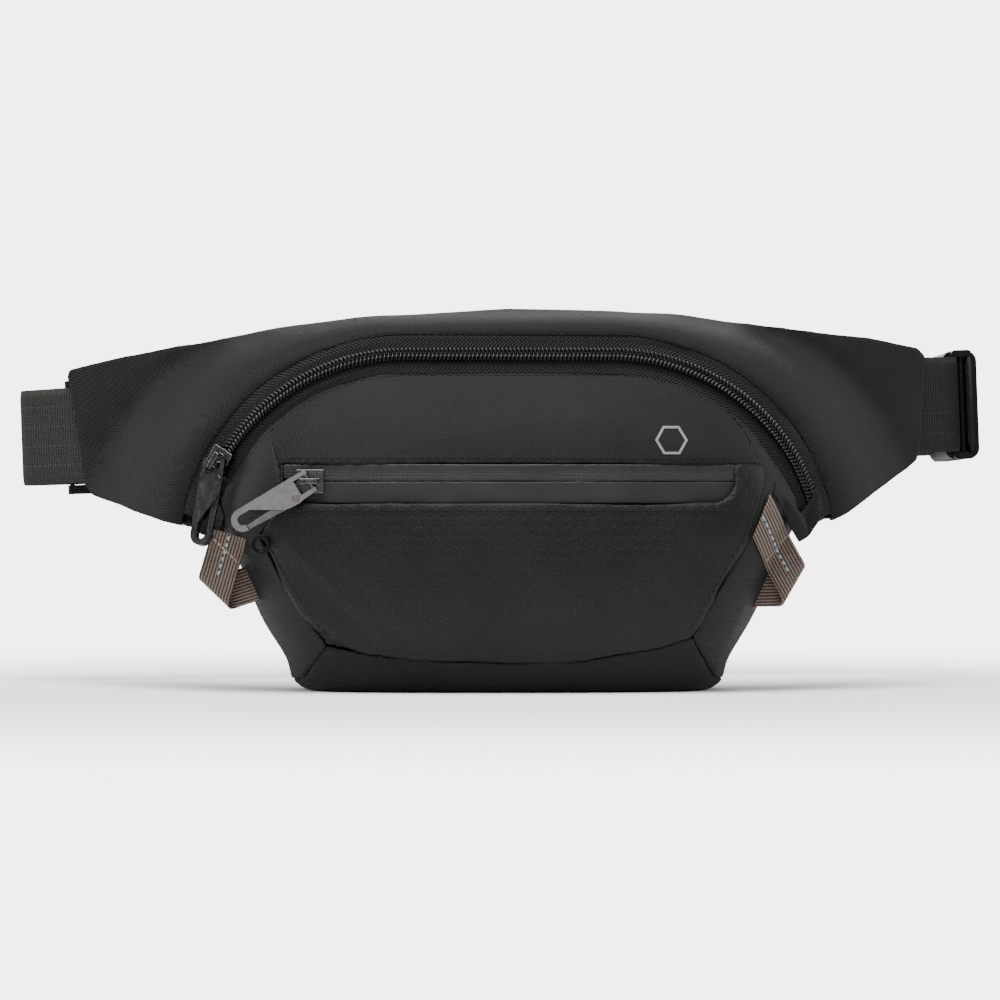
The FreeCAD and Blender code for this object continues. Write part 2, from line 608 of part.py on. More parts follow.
def zip_set(prefix, gate_name, pin_name, origin, along, out, top, under, over, flange, lean, lift):
    """Places a slider, its pull, gate and pin, and reports their joint axes."""
    across = out.cross(along)
    save(f"{prefix}_slider", place(slider(under, over, *flange), origin, along, across, out))
    eye = origin + out * (top + EYE_HEIGHT)
    down = along * -math.cos(lean) + across * math.sin(lean)
    side = out.cross(down)
    u = down * math.cos(lift) + out * math.sin(lift)
    w = u.cross(side)
    for name, shape in ((f"{prefix}_pull", pull_body()), (gate_name, pull_gate()),
                        (pin_name, pull_pin())):
        save(name, place(shape, eye, u, side, w))
    report_axis(f"{prefix}_pull", eye, side * -1)
    report_axis(gate_name, eye + u * PIN_AT.x + side * PIN_AT.y, w * -1)


rest = math.radians(180 - SLIDER_REST)
radial = X_AXIS * math.cos(rest) + UP_ARCH * math.sin(rest)
closed_way = X_AXIS * math.sin(rest) - UP_ARCH * math.cos(rest)
slider_out = OUT_ARCH * math.cos(FACING) + radial * math.sin(FACING)
shoulder = ARCH_CENTRE - X_AXIS * ARCH_HALF_FLAT
main_origin = shoulder + radial * ARCH_RADIUS
across_main = slider_out.cross(closed_way)
level_down = V(0, 0, -1) - slider_out * slider_out.dot(V(0, 0, -1))
main_lean = math.atan2(level_down.dot(across_main), -level_down.dot(closed_way))
coil_clear = COIL_THICK + RUNNING
zip_set("main_zip", "main_pull_gate", "main_pull_pin", main_origin, closed_way, slider_out,
        coil_clear + SLIDER_PLATE, TAPE_THICK + RUNNING, coil_clear, (RUNNING, coil_clear),
        main_lean * 0.9, math.radians(9))
report_axis("main_slider", shoulder, OUT_ARCH * -1)

# --- pocket zip ---------------------------------------------------------------------
tape_face = POCKET_RECESS
tape_zone = front_prism(pocket_window(0.15), -120, -4)
tape = pocket_layer(tape_face, tape_face + TAPE_THICK).common(tape_zone)
neck_x = POCKET_SLIDER_X - SLIDER_HALF + 2 + RUNNING
pocket_slot = box(-200, neck_x, -120, 0, POCKET_Z - NECK_HALF - RUNNING,
                  POCKET_Z + NECK_HALF + RUNNING)
tape = tape.cut(pocket_slot)
coil = pocket_layer(tape_face + TAPE_THICK, tape_face + TAPE_THICK + POCKET_COIL_THICK)
for name, sign in (("upper", 1), ("lower", -1)):
    near, far = sorted((POCKET_Z + sign * 0.15, POCKET_Z + sign * 60))
    save(f"pocket_zip_tape_{name}", tape.common(box(-220, 220, -120, 0, near, far)))
    near, far = sorted((POCKET_Z + sign * 0.15, POCKET_Z + sign * POCKET_COIL_HALF))
    save(f"pocket_zip_coil_{name}",
         coil.common(box(POCKET_SLIDER_X, POCKET_RIGHT - 4, -120, 0, near, far)))
swing = math.asin(POCKET_SLIDER_X / (POCKET_CROWN - tape_face))
pocket_out = V(math.sin(swing), -math.cos(swing), 0)
pocket_along = V(math.cos(swing), math.sin(swing), 0)
pocket_origin = pocket_axis + pocket_out * (POCKET_CROWN - tape_face) + V(0, 0, POCKET_Z)
pocket_under = TAPE_THICK + POCKET_COIL_THICK + RUNNING
zip_set("pocket_zip", "pocket_pull_gate", "pocket_pull_pin", pocket_origin, pocket_along,
        pocket_out, RUNNING + SLIDER_PLATE, pocket_under, RUNNING,
        (-pocket_under, -TAPE_THICK - RUNNING), math.radians(-32), math.radians(13))
report_axis("pocket_slider", pocket_axis + V(0, 0, POCKET_Z), V(0, 0, 1))

# --- buckle, in the belt's frame ----------------------------------------------------
BUCKLE_ROUND = 4.5
HOUSING_WALL = 3.4
PRONG_ROOT = 2.4
RAIL = WEBBING / 2 + RUNNING
HOUSING_NEAR, HOUSING_FAR = NEAR_BAR_Y + 4.0, NEAR_BAR_Y + 36.0
WINDOW_NEAR, WINDOW_FAR = HOUSING_NEAR + 7.5, HOUSING_NEAR + 25.5
MALE_NEAR, MALE_FAR = HOUSING_FAR + RUNNING, FAR_BAR_Y - 3.4
PRONG_PIVOT_Y, PRONG_PIVOT_Z = HOUSING_FAR + 3.0, BUCKLE_WIDE / 2 - 8.8


def rounded_bar(half_x, half_z, radius, y0, y1):
    """A rounded rectangle in X and Z, drawn along the buckle's length."""
    bars = [box(-half_x + radius, half_x - radius, y0, y1, -half_z, half_z),
            box(-half_x, half_x, y0, y1, -half_z + radius, half_z - radius)]
    for sx in (-1, 1):
        for sz in (-1, 1):
            at = V(sx * (half_x - radius), y0, sz * (half_z - radius))
            bars.append(Part.makeCylinder(radius, y1 - y0, at, V(0, 1, 0)))
    solid = fused(bars)
    solid.translate(V(BUCKLE_X, 0, 0))
    return solid


def at_buckle(x0, x1, y0, y1, z0, z1):
    return box(BUCKLE_X + x0, BUCKLE_X + x1, y0, y1, z0, z1)


def web_bar(y, radius):
    return Part.makeCylinder(radius, 2 * RAIL + 2, V(BUCKLE_X, y, -RAIL - 1))


half_thick, half_wide = BUCKLE_THICK / 2, BUCKLE_WIDE / 2
housing = rounded_bar(half_thick, half_wide, BUCKLE_ROUND, HOUSING_NEAR, HOUSING_FAR)
cavity_wide = half_wide - HOUSING_WALL
housing = housing.cut(at_buckle(-4.2, 4.2, HOUSING_NEAR + 3, HOUSING_FAR + 1,
                                -cavity_wide, cavity_wide))
housing = housing.cut(at_buckle(-3.6, 3.6, WINDOW_NEAR, WINDOW_FAR, -half_wide - 1, half_wide + 1))
rails = rounded_bar(4.0, half_wide, 1.5, NEAR_BAR_Y - 3, HOUSING_NEAR)
rails = rails.cut(at_buckle(-9, 9, 0, HOUSING_NEAR, -RAIL, RAIL))
save("buckle_female", rolled(fused([housing, rails, web_bar(NEAR_BAR_Y, 1.6)])))

male = rounded_bar(half_thick - 1, half_wide, BUCKLE_ROUND - 1, MALE_NEAR, MALE_FAR)
for sign in (-1, 1):
    z0, z1 = sorted((sign * (half_wide - 12.2), sign * (half_wide - 5.2)))
    male = male.cut(at_buckle(-3.2, 3.2, MALE_NEAR - 1, PRONG_PIVOT_Y + 4, z0, z1))
rails = rounded_bar(4.0, half_wide, 1.5, MALE_FAR, FAR_BAR_Y + 2.5)
rails = rails.cut(at_buckle(-9, 9, MALE_FAR, 200, -RAIL, RAIL))
guide = rounded_bar(3.0, 4.5, 1.5, HOUSING_NEAR + 10, MALE_NEAR)
save("buckle_male", rolled(fused([male, rails, guide, web_bar(FAR_BAR_Y, 1.0)])))

# Outline of a prong by its distance from the pivot towards the tip, and from the buckle's side
prong = [(-3, 11), (-3, 6.4), (5, 6.6), (10.4, 3.6), (11, 0.6), (17, 0.3), (24, 1.6),
         (26.6, 4.8), (24, 7.6), (7, 10.6)]
for name, sign in (("upper", 1), ("lower", -1)):
    outline = [V(BUCKLE_X - 2.8, PRONG_PIVOT_Y - tipward, sign * (half_wide - inward))
               for tipward, inward in prong]
    solid = flat_face(outline).extrude(V(5.6, 0, 0))
    pivot = V(BUCKLE_X, PRONG_PIVOT_Y, sign * PRONG_PIVOT_Z)
    root = Part.makeCylinder(PRONG_ROOT, 5.6, pivot - V(2.8, 0, 0), X_AXIS)
    save(f"buckle_prong_{name}", rolled(fused([solid, root])))
    report_axis(f"prong_{name}", rolled_point(pivot),
                V(math.cos(ROLL), 0, math.sin(ROLL)) * sign)

# Tri-glide: two bars between the layers, and the bar that the return layer is sewn round
GLIDE_TALL = WEBBING / 2 + 4.0
bars = [Part.makeCylinder(GLIDE_BAR, 2 * RAIL + 2,
                          glide_centre + back_dir * t - V(0, 0, RAIL + 1))
        for t in (-GLIDE_BARS, GLIDE_BARS)]
bars.append(Part.makeCylinder(GLIDE_BAR, 2 * RAIL + 2, glide_bar - V(0, 0, RAIL + 1)))
for z0, z1 in ((RAIL, GLIDE_TALL), (-GLIDE_TALL, -RAIL)):
    rail = box(-GLIDE_BARS - 1.6, GLIDE_BARS + 1.6, -LAYER_PITCH - 1.4, 1.4, z0, z1)
    bars.append(place(rail, glide_centre, back_dir, back_left_way, V(0, 0, 1)))
save("tri_glide", rolled(fused(bars)))
report_axis("tri_glide", rolled_point(glide_centre), V(
    back_dir.x * math.cos(ROLL), back_dir.y, back_dir.x * math.sin(ROLL)))

# --- trim where the arch meets the wings --------------------------------------------
stop = band(-COIL_HALF, COIL_HALF, 0, COIL_THICK + 0.3, TAPE_END + 0.3, TAPE_END + 0.3)
stop = stop.common(on_arch(box(60, 200, -50, 18.6, -60, 60)))
save("main_zip_stop", stop)
COVER_TOP, COVER_LOW = 62.3, 52.0
around = pouch_block(-0.4, -0.4, 0)
covers = {}
for name, sign in (("left", -1), ("right", 1)):
    points = [(half_width(COVER_LOW) - 1, COVER_LOW), (118, 56.5), (124.2, 60.8),
              (124.2, COVER_TOP), (100, COVER_TOP)]
    cover = front_prism([(sign * x, z) for x, z in points], seam_y(COVER_TOP) + 2, 120)
    covers[name] = cover.cut(around).cut(waist_core)
    save(f"zip_end_cover_{name}", covers[name])

LOOP_FRONT_Y = -33.0
LOOP_BEND = 4.5


def webbing_loop(outline, fold_start, fold_end):
    """Narrow webbing folded back on itself along a slanting line at the pouch's corner."""
    ruling = (V(fold_end[0], 0, fold_end[1]) - V(fold_start[0], 0, fold_start[1])).normalize()
    outwards = V(ruling.z, 0, -ruling.x)
    if outwards.z > 0:
        outwards = outwards * -1
    back = V(0, 1, 0)
    r, t, deep = LOOP_BEND, LOOP_WEBBING_THICK, 40.0
    outer = box(-deep, 0, -r, r, -50, 50).fuse(Part.makeCylinder(r, 100, V(0, 0, -50)))
    inner = box(-deep, 0, t - r, r - t, -50, 50).fuse(Part.makeCylinder(r - t, 100, V(0, 0, -50)))
    hook = outer.removeSplitter().cut(inner.removeSplitter())
    at = V(fold_start[0], LOOP_FRONT_Y + r, fold_start[1]) - outwards * r
    hook = place(hook, at, outwards, back, outwards.cross(back))
    return hook.common(front_prism(outline)).cut(around)


left_loop = [(-111.4, 59.1), (-98.5, 55.3), (-103, 37.5), (-97.3, 32.6), (-99.6, 31.0),
             (-116.5, 46.5), (-115.2, 49.5)]
right_loop = [(98.9, 61), (106.4, 61), (110.6, 56.1), (114, 52.3), (110.5, 45.0), (101.0, 32.0),
              (98.0, 34.0), (102.7, 39.8), (99.6, 48.5), (96.6, 55.3)]
folded_left = webbing_loop(left_loop, (-114.8, 47.4), (-99.6, 32.6))
folded_right = webbing_loop(right_loop, (112.1, 50.0), (100.4, 33.6))
save("webbing_loop_left", folded_left.cut(covers["left"]))
save("webbing_loop_right", folded_right.cut(covers["right"]))
lock_at = V(-93.5, -50.6, 55.3)
save("lock_loop", Part.makeTorus(3.0, 0.9, lock_at, V(0, 1, 0)))
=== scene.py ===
# %% [markdown]
# # A waist pack, piece by piece
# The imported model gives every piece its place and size. This lesson dresses it: cloth panels
# with a weave, a coil zip with real beads, folded webbing, metal pulls and a moulded buckle.
# Everything is in metres. +X is the wearer's left, +Z is up and the pouch faces -Y.

# %% Load the frame
import bpy
import bmesh
import math
from mathutils import Vector, Matrix, noise, kdtree
from mathutils.bvhtree import BVHTree


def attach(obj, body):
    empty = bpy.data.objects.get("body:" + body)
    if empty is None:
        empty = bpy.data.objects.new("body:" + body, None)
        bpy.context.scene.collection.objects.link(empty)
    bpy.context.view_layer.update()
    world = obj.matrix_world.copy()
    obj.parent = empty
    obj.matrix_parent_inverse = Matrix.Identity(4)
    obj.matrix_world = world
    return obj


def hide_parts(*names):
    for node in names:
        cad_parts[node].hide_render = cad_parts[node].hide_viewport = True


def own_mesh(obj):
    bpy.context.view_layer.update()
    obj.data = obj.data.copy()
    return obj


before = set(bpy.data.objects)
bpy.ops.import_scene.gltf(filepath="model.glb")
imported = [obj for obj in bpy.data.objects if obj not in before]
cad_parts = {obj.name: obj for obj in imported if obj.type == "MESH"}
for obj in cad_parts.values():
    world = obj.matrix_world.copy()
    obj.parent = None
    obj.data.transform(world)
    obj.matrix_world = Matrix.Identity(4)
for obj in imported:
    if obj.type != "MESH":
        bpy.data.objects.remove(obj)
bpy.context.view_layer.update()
print("CAD nodes:", len(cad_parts))

# %% [markdown]
# ## Camera
# A long lens from a metre and a half away flattens the pouch the way a catalogue picture does.
# A short lens would swell the pouch and shrink the wings, so the distance matters more than
# the zoom. The camera stands a little to the wearer's right of the middle.

# %% Camera
MM = 0.001
LOOK_AT = Vector((-4.4, -42.5, 72.0)) * MM
CAMERA_DISTANCE, CAMERA_LENS = 1.5, 145.5
CAMERA_AZIMUTH, CAMERA_ELEVATION = math.radians(-1.6), math.radians(-0.5)


def put_in_scene(name, data):
    made = bpy.data.objects.new(name, data)
    bpy.context.scene.collection.objects.link(made)
    return made


def stand(holder, place, target):
    """Puts a camera or a lamp in its place, facing the target."""
    holder.location = place
    holder.rotation_mode = "QUATERNION"
    holder.rotation_quaternion = (target - Vector(place)).to_track_quat("-Z", "Y")


away = Vector((math.sin(CAMERA_AZIMUTH) * math.cos(CAMERA_ELEVATION),
               -math.cos(CAMERA_AZIMUTH) * math.cos(CAMERA_ELEVATION),
               math.sin(CAMERA_ELEVATION)))
camera_data = bpy.data.cameras.new("camera")
camera_data.lens = CAMERA_LENS
camera_data.clip_end = 20
camera = put_in_scene("camera", camera_data)
stand(camera, LOOK_AT + away * CAMERA_DISTANCE, LOOK_AT)
bpy.context.scene.camera = camera
print("camera at", tuple(round(c, 3) for c in camera.location))

# %% [markdown]
# ## Floor and light
# Black cloth shows its shape only through what it reflects, so the lights are large and soft:
# one broad panel above, a faint one in front, one at each side that skims the wings, one
# behind, and a pale room all round. The room looks brighter to the camera than it is to the
# pouch, and the floor thins out into it, so no horizon cuts across the picture.

# %% Floor and light
LAMP_TARGET = Vector((0, 0, 0.08))
LAMPS = {  # place, width and power
    "top_panel": ((-0.1, -0.42, 1.25), 0.9, 37),
    "left_panel": ((-1.3, 0.3, 0.55), 0.6, 9),
    "right_panel": ((1.25, 0.2, 0.5), 0.6, 7),
    "front_panel_light": ((-0.25, -1.8, 0.85), 1.0, 6),
    "back_panel_light": ((0.1, 1.3, 0.8), 0.8, 12),
}
for name, (place, width, power) in LAMPS.items():
    lamp = bpy.data.lights.new(name, "AREA")
    lamp.size, lamp.energy = width, power
    stand(put_in_scene(name, lamp), place, LAMP_TARGET)
ROOM_SEEN, ROOM_LIGHT = 5.0, 0.24
world = bpy.data.worlds.new("pale_room")
bpy.context.scene.world = world
world.use_nodes = True
sky = world.node_tree.nodes["Background"]
sky.inputs[0].default_value = (1, 1, 1, 1)
ray = world.node_tree.nodes.new("ShaderNodeLightPath")
strength = world.node_tree.nodes.new("ShaderNodeMapRange")
strength.inputs["To Min"].default_value = ROOM_LIGHT
strength.inputs["To Max"].default_value = ROOM_SEEN
world.node_tree.links.new(ray.outputs["Is Camera Ray"], strength.inputs[0])
world.node_tree.links.new(strength.outputs[0], sky.inputs[1])
FLOOR_HALF, FLOOR_DROP = 0.9, 0.0004


def new_mesh(name, places, faces):
    mesh = bpy.data.meshes.new(name)
    mesh.from_pydata([tuple(p) for p in places], [], faces)
    return mesh


floor = put_in_scene("floor", new_mesh("floor", [
    (x * FLOOR_HALF, y * FLOOR_HALF, -FLOOR_DROP)
    for x, y in ((-1, -1), (1, -1), (1, 1), (-1, 1))], [(0, 1, 2, 3)]))
print("lights:", len(bpy.data.lights))

# %% [markdown]
# ## Building materials from nodes
# Every finish here is drawn by nodes. A recipe of nodes is long to write out, so two small
# classes keep it short. `Drawn` is one number that changes over the surface: adding to it or
# multiplying it makes the next Math node. `Finish` is a material that takes such numbers.

# %% Numbers drawn by nodes
STRIP_MAP = "strip_metres"


def node(tree, kind, *inputs, **settings):
    """Makes a node; an input may be a number, a colour or another node's output."""
    made = tree.nodes.new(kind)
    for key, value in settings.items():
        setattr(made, key, value)
    for socket, value in zip(made.inputs, inputs):
        value = getattr(value, "socket", value)
        if isinstance(value, bpy.types.NodeSocket):
            tree.links.new(value, socket)
        elif value is not None:
            socket.default_value = value
    return made


class Drawn:
    """A number that nodes draw over the surface."""

    def __init__(self, tree, socket):
        self.tree, self.socket = tree, socket

    def calc(self, operation, *others):
        made = node(self.tree, "ShaderNodeMath", self, *others, operation=operation)
        return Drawn(self.tree, made.outputs[0])

    def __add__(self, other):
        return self.calc("ADD", other)

    def __mul__(self, other):
        return self.calc("MULTIPLY", other)

    def wave(self, pitch):
        """A sine that repeats every pitch metres."""
        return (self * (2 * math.pi / pitch)).calc("SINE")

    def ramp(self, low, high, at_low=0.0, at_high=1.0, **settings):
        """Runs from at_low to at_high between low and high, and stays level beyond."""
        made = node(self.tree, "ShaderNodeMapRange", self, low, high, at_low, at_high, **settings)
        return Drawn(self.tree, made.outputs[0])


print("kinds of arithmetic: plus, times, wave, ramp")

# %% Finishes drawn by nodes
class Finish:
    """A material whose even values sit on the shader's own sockets."""

    def __init__(self, name, colour, roughness, **gloss):
        self.material = bpy.data.materials.new(name)
        self.material.use_nodes = True
        self.tree = self.material.node_tree
        self.sockets = self.tree.nodes["Principled BSDF"].inputs
        self.sockets["Base Color"].default_value = (*colour, 1)
        self.sockets["Roughness"].default_value = roughness
        for key, value in gloss.items():
            socket = key.replace("_", " ").title().replace("Ior", "IOR")
            self.sockets[socket].default_value = value

    def drawn(self, kind, *inputs, output=0, **settings):
        return Drawn(self.tree, node(self.tree, kind, *inputs, **settings).outputs[output])

    def parts(self, vector):
        made = node(self.tree, "ShaderNodeSeparateXYZ", vector)
        return [Drawn(self.tree, socket) for socket in made.outputs]

    def spot(self):
        """The place of a point on the piece."""
        return self.drawn("ShaderNodeTexCoord", output="Object")

    def strip(self):
        """u along a strip and v across it, in metres."""
        return self.parts(self.drawn("ShaderNodeUVMap", uv_map=STRIP_MAP))[:2]

    def blotches(self, scale, low, high):
        """Soft blotches, stretched to run from 0 to 1 between low and high."""
        blot = node(self.tree, "ShaderNodeTexNoise", self.spot())
        blot.inputs["Scale"].default_value = scale
        blot.inputs["Detail"].default_value = 4
        return Drawn(self.tree, blot.outputs[0]).ramp(low, high)

    def feed(self, socket, value):
        self.tree.links.new(value.socket, self.sockets[socket])

    def raised(self, height, distance):
        bump = node(self.tree, "ShaderNodeBump", 1.0, distance)
        self.tree.links.new(height.socket, bump.inputs["Height"])
        self.tree.links.new(bump.outputs[0], self.sockets["Normal"])

    def tinted(self, dark, light, share):
        """Colour that runs from dark to light as share goes from 0 to 1."""
        mix = node(self.tree, "ShaderNodeMix", share, data_type="RGBA")
        mix.inputs[6].default_value = (*dark, 1)
        mix.inputs[7].default_value = (*light, 1)
        self.tree.links.new(mix.outputs[2], self.sockets["Base Color"])


print("finish helper ready")

# %% [markdown]
# ## Twill and plain weave
# Pack cloth is dyed black yarn, but it never looks one flat black. Yarn ridges catch light, the
# dye is a little uneven, and the fibre ends give a faint sheen at grazing angles. The ridges
# are drawn as sines in the surface's height, and the same sines paint their tops lighter in the
# colour: a painted highlight. The uneven dye is random blotches. The ridges follow the piece's x
# and z, because the cloth was cut flat and then sewn upright.

# %% Cloth finishes
# The second yarn colour is the light end: random wear, and the painted highlight on ridge tops.
BLACK_YARN, WORN_AND_HIGHLIGHT_YARN = (0.0014, 0.0014, 0.0015), (0.016, 0.0161, 0.0164)
TWILL_PITCH, PLAIN_PITCH, SEWING_PITCH = 0.00115, 0.0007, 0.0005
CLOTH_GLOSS = {"sheen_weight": 0.015, "sheen_roughness": 0.5, "specular_ior_level": 0.14}


def cloth(name, dark, light, roughness, ridge, pitch, slant=1.0):
    """Woven cloth: slant 1 is a twill, 0 is a plain weave."""
    finish = Finish(name, dark, roughness, **CLOTH_GLOSS)
    x, y, z = finish.parts(finish.spot())
    across = x + y
    rib = (across * slant + z).wave(pitch)
    yarn = (z * (-0.35 * slant) + across).wave(pitch * 0.8)
    height = yarn * 0.6 + rib
    finish.raised(height, ridge)
    worn = finish.blotches(1400, 0.35, 0.75) * 0.2 + finish.blotches(30, 0.3, 0.7) * 0.25
    # Ridge tops are painted lighter: a painted highlight. The blotches are random uneven dye.
    finish.tinted(dark, light, height.ramp(-1.6, 1.6) * 0.55 + worn)
    return finish


wing_twill = cloth("wing_twill", BLACK_YARN, WORN_AND_HIGHLIGHT_YARN, 0.68, 0.00005, TWILL_PITCH)
front_twill = cloth("front_twill", BLACK_YARN, (0.0155, 0.0156, 0.016), 0.66, 0.00004,
                    TWILL_PITCH)
gusset_weave = cloth("gusset_weave", (0.0045, 0.0045, 0.0047), (0.0135, 0.0136, 0.014), 0.6,
                     0.00003, PLAIN_PITCH, slant=0.0)
bottom_weave = cloth("bottom_weave", (0.0035, 0.0035, 0.0037), (0.0105, 0.0106, 0.011), 0.62,
                     0.00003, PLAIN_PITCH, slant=0.0)
lining_weave = cloth("lining_weave", (0.05, 0.053, 0.056), (0.08, 0.083, 0.086), 0.7,
                     0.00002, PLAIN_PITCH, slant=0.0)
print("cloth finishes:", len(bpy.data.materials))

# %% Floor finish
FLOOR_TONE, FLOOR_FULL, FLOOR_GONE = (0.93, 0.93, 0.93), 0.16, 0.62
pale_floor = Finish("pale_floor", FLOOR_TONE, 0.8, specular_ior_level=0.0)
x, y, _ = pale_floor.parts(pale_floor.spot())
pale_floor.feed("Alpha", (x * x + y * y).calc("SQRT").ramp(
    FLOOR_FULL, FLOOR_GONE, 1.0, 0.0, interpolation_type="SMOOTHSTEP"))
floor.data.materials.append(pale_floor.material)
print("floor fades out at:", FLOOR_GONE)

# %% [markdown]
# ## Hexagonal ripstop
# The lower front is a ripstop: thicker yarns cross the thin cloth in a net of small hexagons.
# A hexagon net can be drawn as two overlapping grids of rectangles. Whichever grid centre is
# nearer owns the point, and the distance to the cell's side then tells cloth from thick yarn.

# %% Ripstop finish
HEX_CELL, RIPSTOP_PITCH = 0.0043, 0.00095
HEX_STEP, HEX_HALF = (1.0, 1.7320508, 1.0), (0.5, 0.8660254, 0.5)
FAR_CELLS = 100.0  # keeps every point on the positive side of the grid


def hexagon_edge(finish, x, z, cell):
    """0 in the middle of a cell and 0.5 on its side."""
    def vector(operation, *inputs, output=0):
        return finish.drawn("ShaderNodeVectorMath", *inputs, operation=operation, output=output)

    def from_centre(place):
        return vector("SUBTRACT", vector("MODULO", place, HEX_STEP), HEX_HALF)

    flat = finish.drawn("ShaderNodeCombineXYZ", x * (1 / cell), z * (1 / cell), 0.0)
    grid = vector("ADD", flat, (FAR_CELLS, FAR_CELLS * HEX_STEP[1], 0.5))
    first, second = from_centre(grid), from_centre(vector("SUBTRACT", grid, (*HEX_HALF[:2], 0.0)))
    nearer = vector("LENGTH", first, output="Value").calc(
        "LESS_THAN", vector("LENGTH", second, output="Value"))
    own = node(finish.tree, "ShaderNodeMix", nearer, None, None, None, second, first,
               data_type="VECTOR")
    side = vector("ABSOLUTE", own.outputs[1])
    slanted = vector("DOT_PRODUCT", side, (*HEX_HALF[:2], 0.0), output="Value")
    return slanted.calc("MAXIMUM", finish.parts(side)[0])


ripstop = Finish("hex_ripstop", BLACK_YARN, 0.5, sheen_weight=0.01, sheen_roughness=0.5,
                 specular_ior_level=0.16)
x, _, z = ripstop.parts(ripstop.spot())
thick_yarn = hexagon_edge(ripstop, x, z, HEX_CELL).ramp(0.425, 0.475)
thread = x.wave(RIPSTOP_PITCH) * z.wave(RIPSTOP_PITCH)
ripstop.raised(thread * 0.5 + thick_yarn * 0.7, 0.00009)
# Raised yarns are painted lighter, a painted highlight, over random dye blotches.
yarn_highlight_and_tone = ripstop.blotches(30, 0.3, 0.7) * 0.25 + thick_yarn * 0.17 + (thread * 0.3 + 0.28)
ripstop.tinted((0.0012, 0.0012, 0.0013), (0.0150, 0.0151, 0.0154), yarn_highlight_and_tone)
print("ripstop cell in mm:", HEX_CELL / MM)

# %% [markdown]
# ## Metal, plastic, coated tape and thread
# The zip pulls are cast zinc with a dark nickel plate: a metal with a medium roughness and
# faint brush marks. The buckle is moulded acetal with a fine spark-eroded grain. The pocket
# zip's tape is laminated with a matte film, so it has no yarn to see, but three cords press
# through the film above the slit.

# %% Hard finishes
def metal(name, colour, roughness):
    finish = Finish(name, colour, roughness, metallic=1.0)
    scuff = finish.blotches(420, 0.3, 0.75)
    finish.feed("Roughness", scuff.ramp(0.0, 1.0, roughness - 0.07, roughness + 0.1))
    finish.raised(scuff, 0.00001)
    finish.tinted([0.88 * c for c in colour], colour, scuff)
    return finish


def moulded(name, grey, roughness, grain, shine):
    """Plastic or print ink; shine is the strength of its clear reflection."""
    finish = Finish(name, grey, roughness, specular_ior_level=shine)
    finish.raised(finish.blotches(2600, 0.4, 0.6), grain)
    rubbed = finish.blotches(60, 0.3, 0.8)
    finish.feed("Roughness", rubbed.ramp(0.0, 1.0, roughness - 0.05, roughness + 0.06))
    finish.tinted(grey, [1.5 * c for c in grey], rubbed)
    return finish


plate_metal = metal("dark_nickel", (0.17, 0.162, 0.162), 0.25)
gate_metal = metal("gate_nickel", (0.13, 0.125, 0.125), 0.27)
buckle_plastic = moulded("buckle_acetal", (0.003, 0.003, 0.0032), 0.38, 0.000006, 0.25)
coil_nylon = moulded("coil_nylon", (0.004, 0.0041, 0.0043), 0.3, 0.000003, 0.3)
ring_rubber = moulded("ring_rubber", (0.003, 0.003, 0.003), 0.5, 0.00001, 0.15)
print("metals and mouldings ready")

# %% Film over the pocket zip, and sewing thread
POCKET_SLIT_Z, CORD_PITCH = 0.079, 0.0011
film = Finish("coated_film", (0.016, 0.0174, 0.0163), 0.48, specular_ior_level=0.3)
x, _, z = film.parts(film.spot())
above_slit = z + -POCKET_SLIT_Z
band = above_slit.ramp(0.0003, 0.0006) * above_slit.ramp(0.0034, 0.0038, 1.0, 0.0)
cords = above_slit.wave(CORD_PITCH) * (x.wave(0.0016) * 0.35 + 0.65) * band
film.raised(film.blotches(2600, 0.4, 0.6) * 0.1 + cords, 0.00008)
rubbed = film.blotches(60, 0.3, 0.8) * 0.5
# The cords are also painted lighter where they press through: a painted highlight. The rubbed
# blotches are random wear.
film.tinted((0.009, 0.0098, 0.0092), (0.023, 0.025, 0.0235), cords * 0.3 + (rubbed + 0.35))
black_thread = cloth("black_thread", (0.006, 0.006, 0.0065), (0.02, 0.02, 0.021), 0.7, 0.00003,
                     SEWING_PITCH)
print("finishes:", len(bpy.data.materials))

# %% [markdown]
# ## Webbing and tape
# Webbing is woven flat, so its pattern runs along the strip, wherever the strip goes. These
# finishes read a lengthwise map in metres that is laid down when each strip is made: u runs
# along it and v across it.

# %% Belt weave
BELT_RIB, BELT_YARN, BELT_STITCH_GAP = 0.0013, 0.0009, 0.0078


def belt_weave(name, dark, light):
    """Cross-ribbed webbing with pale lengthwise yarns, one every stitch gap."""
    finish = Finish(name, dark, 0.62, sheen_weight=0.02, sheen_roughness=0.4,
                    specular_ior_level=0.2)
    u, v = finish.strip()
    half_gap = BELT_STITCH_GAP / 2
    stripe = (v + half_gap).calc("PINGPONG", half_gap).ramp(0.0, 0.0005, 1.0, 0.0)
    stitch = stripe * u.wave(BELT_RIB * 2).ramp(-0.5, 0.3)
    height = v.wave(BELT_YARN) * 0.35 + u.wave(BELT_RIB)
    finish.raised(stitch * 1.2 + height, 0.00012)
    dust = finish.blotches(900, 0.4, 0.7) * 0.25
    # Rib tops are painted lighter, a painted highlight; the dust blotches and pale yarns are the
    # webbing's own colour.
    share = (height.ramp(-1.2, 1.2, 0.0, 0.5) + dust).calc("MAXIMUM", stitch)
    finish.tinted(dark, light, share)
    return finish


belt_finish = belt_weave("belt_weave", (0.004, 0.0037, 0.0034), (0.043, 0.040, 0.036))
# The tab's weave is a darker copy of the belt's: painted shade for the tab that lies in shadow.
painted_shade_tab_finish = belt_weave("painted_shade_tab_weave", (0.0012, 0.0012, 0.0012), (0.009, 0.0088, 0.0086))
print("belt rib in mm:", BELT_RIB / MM)
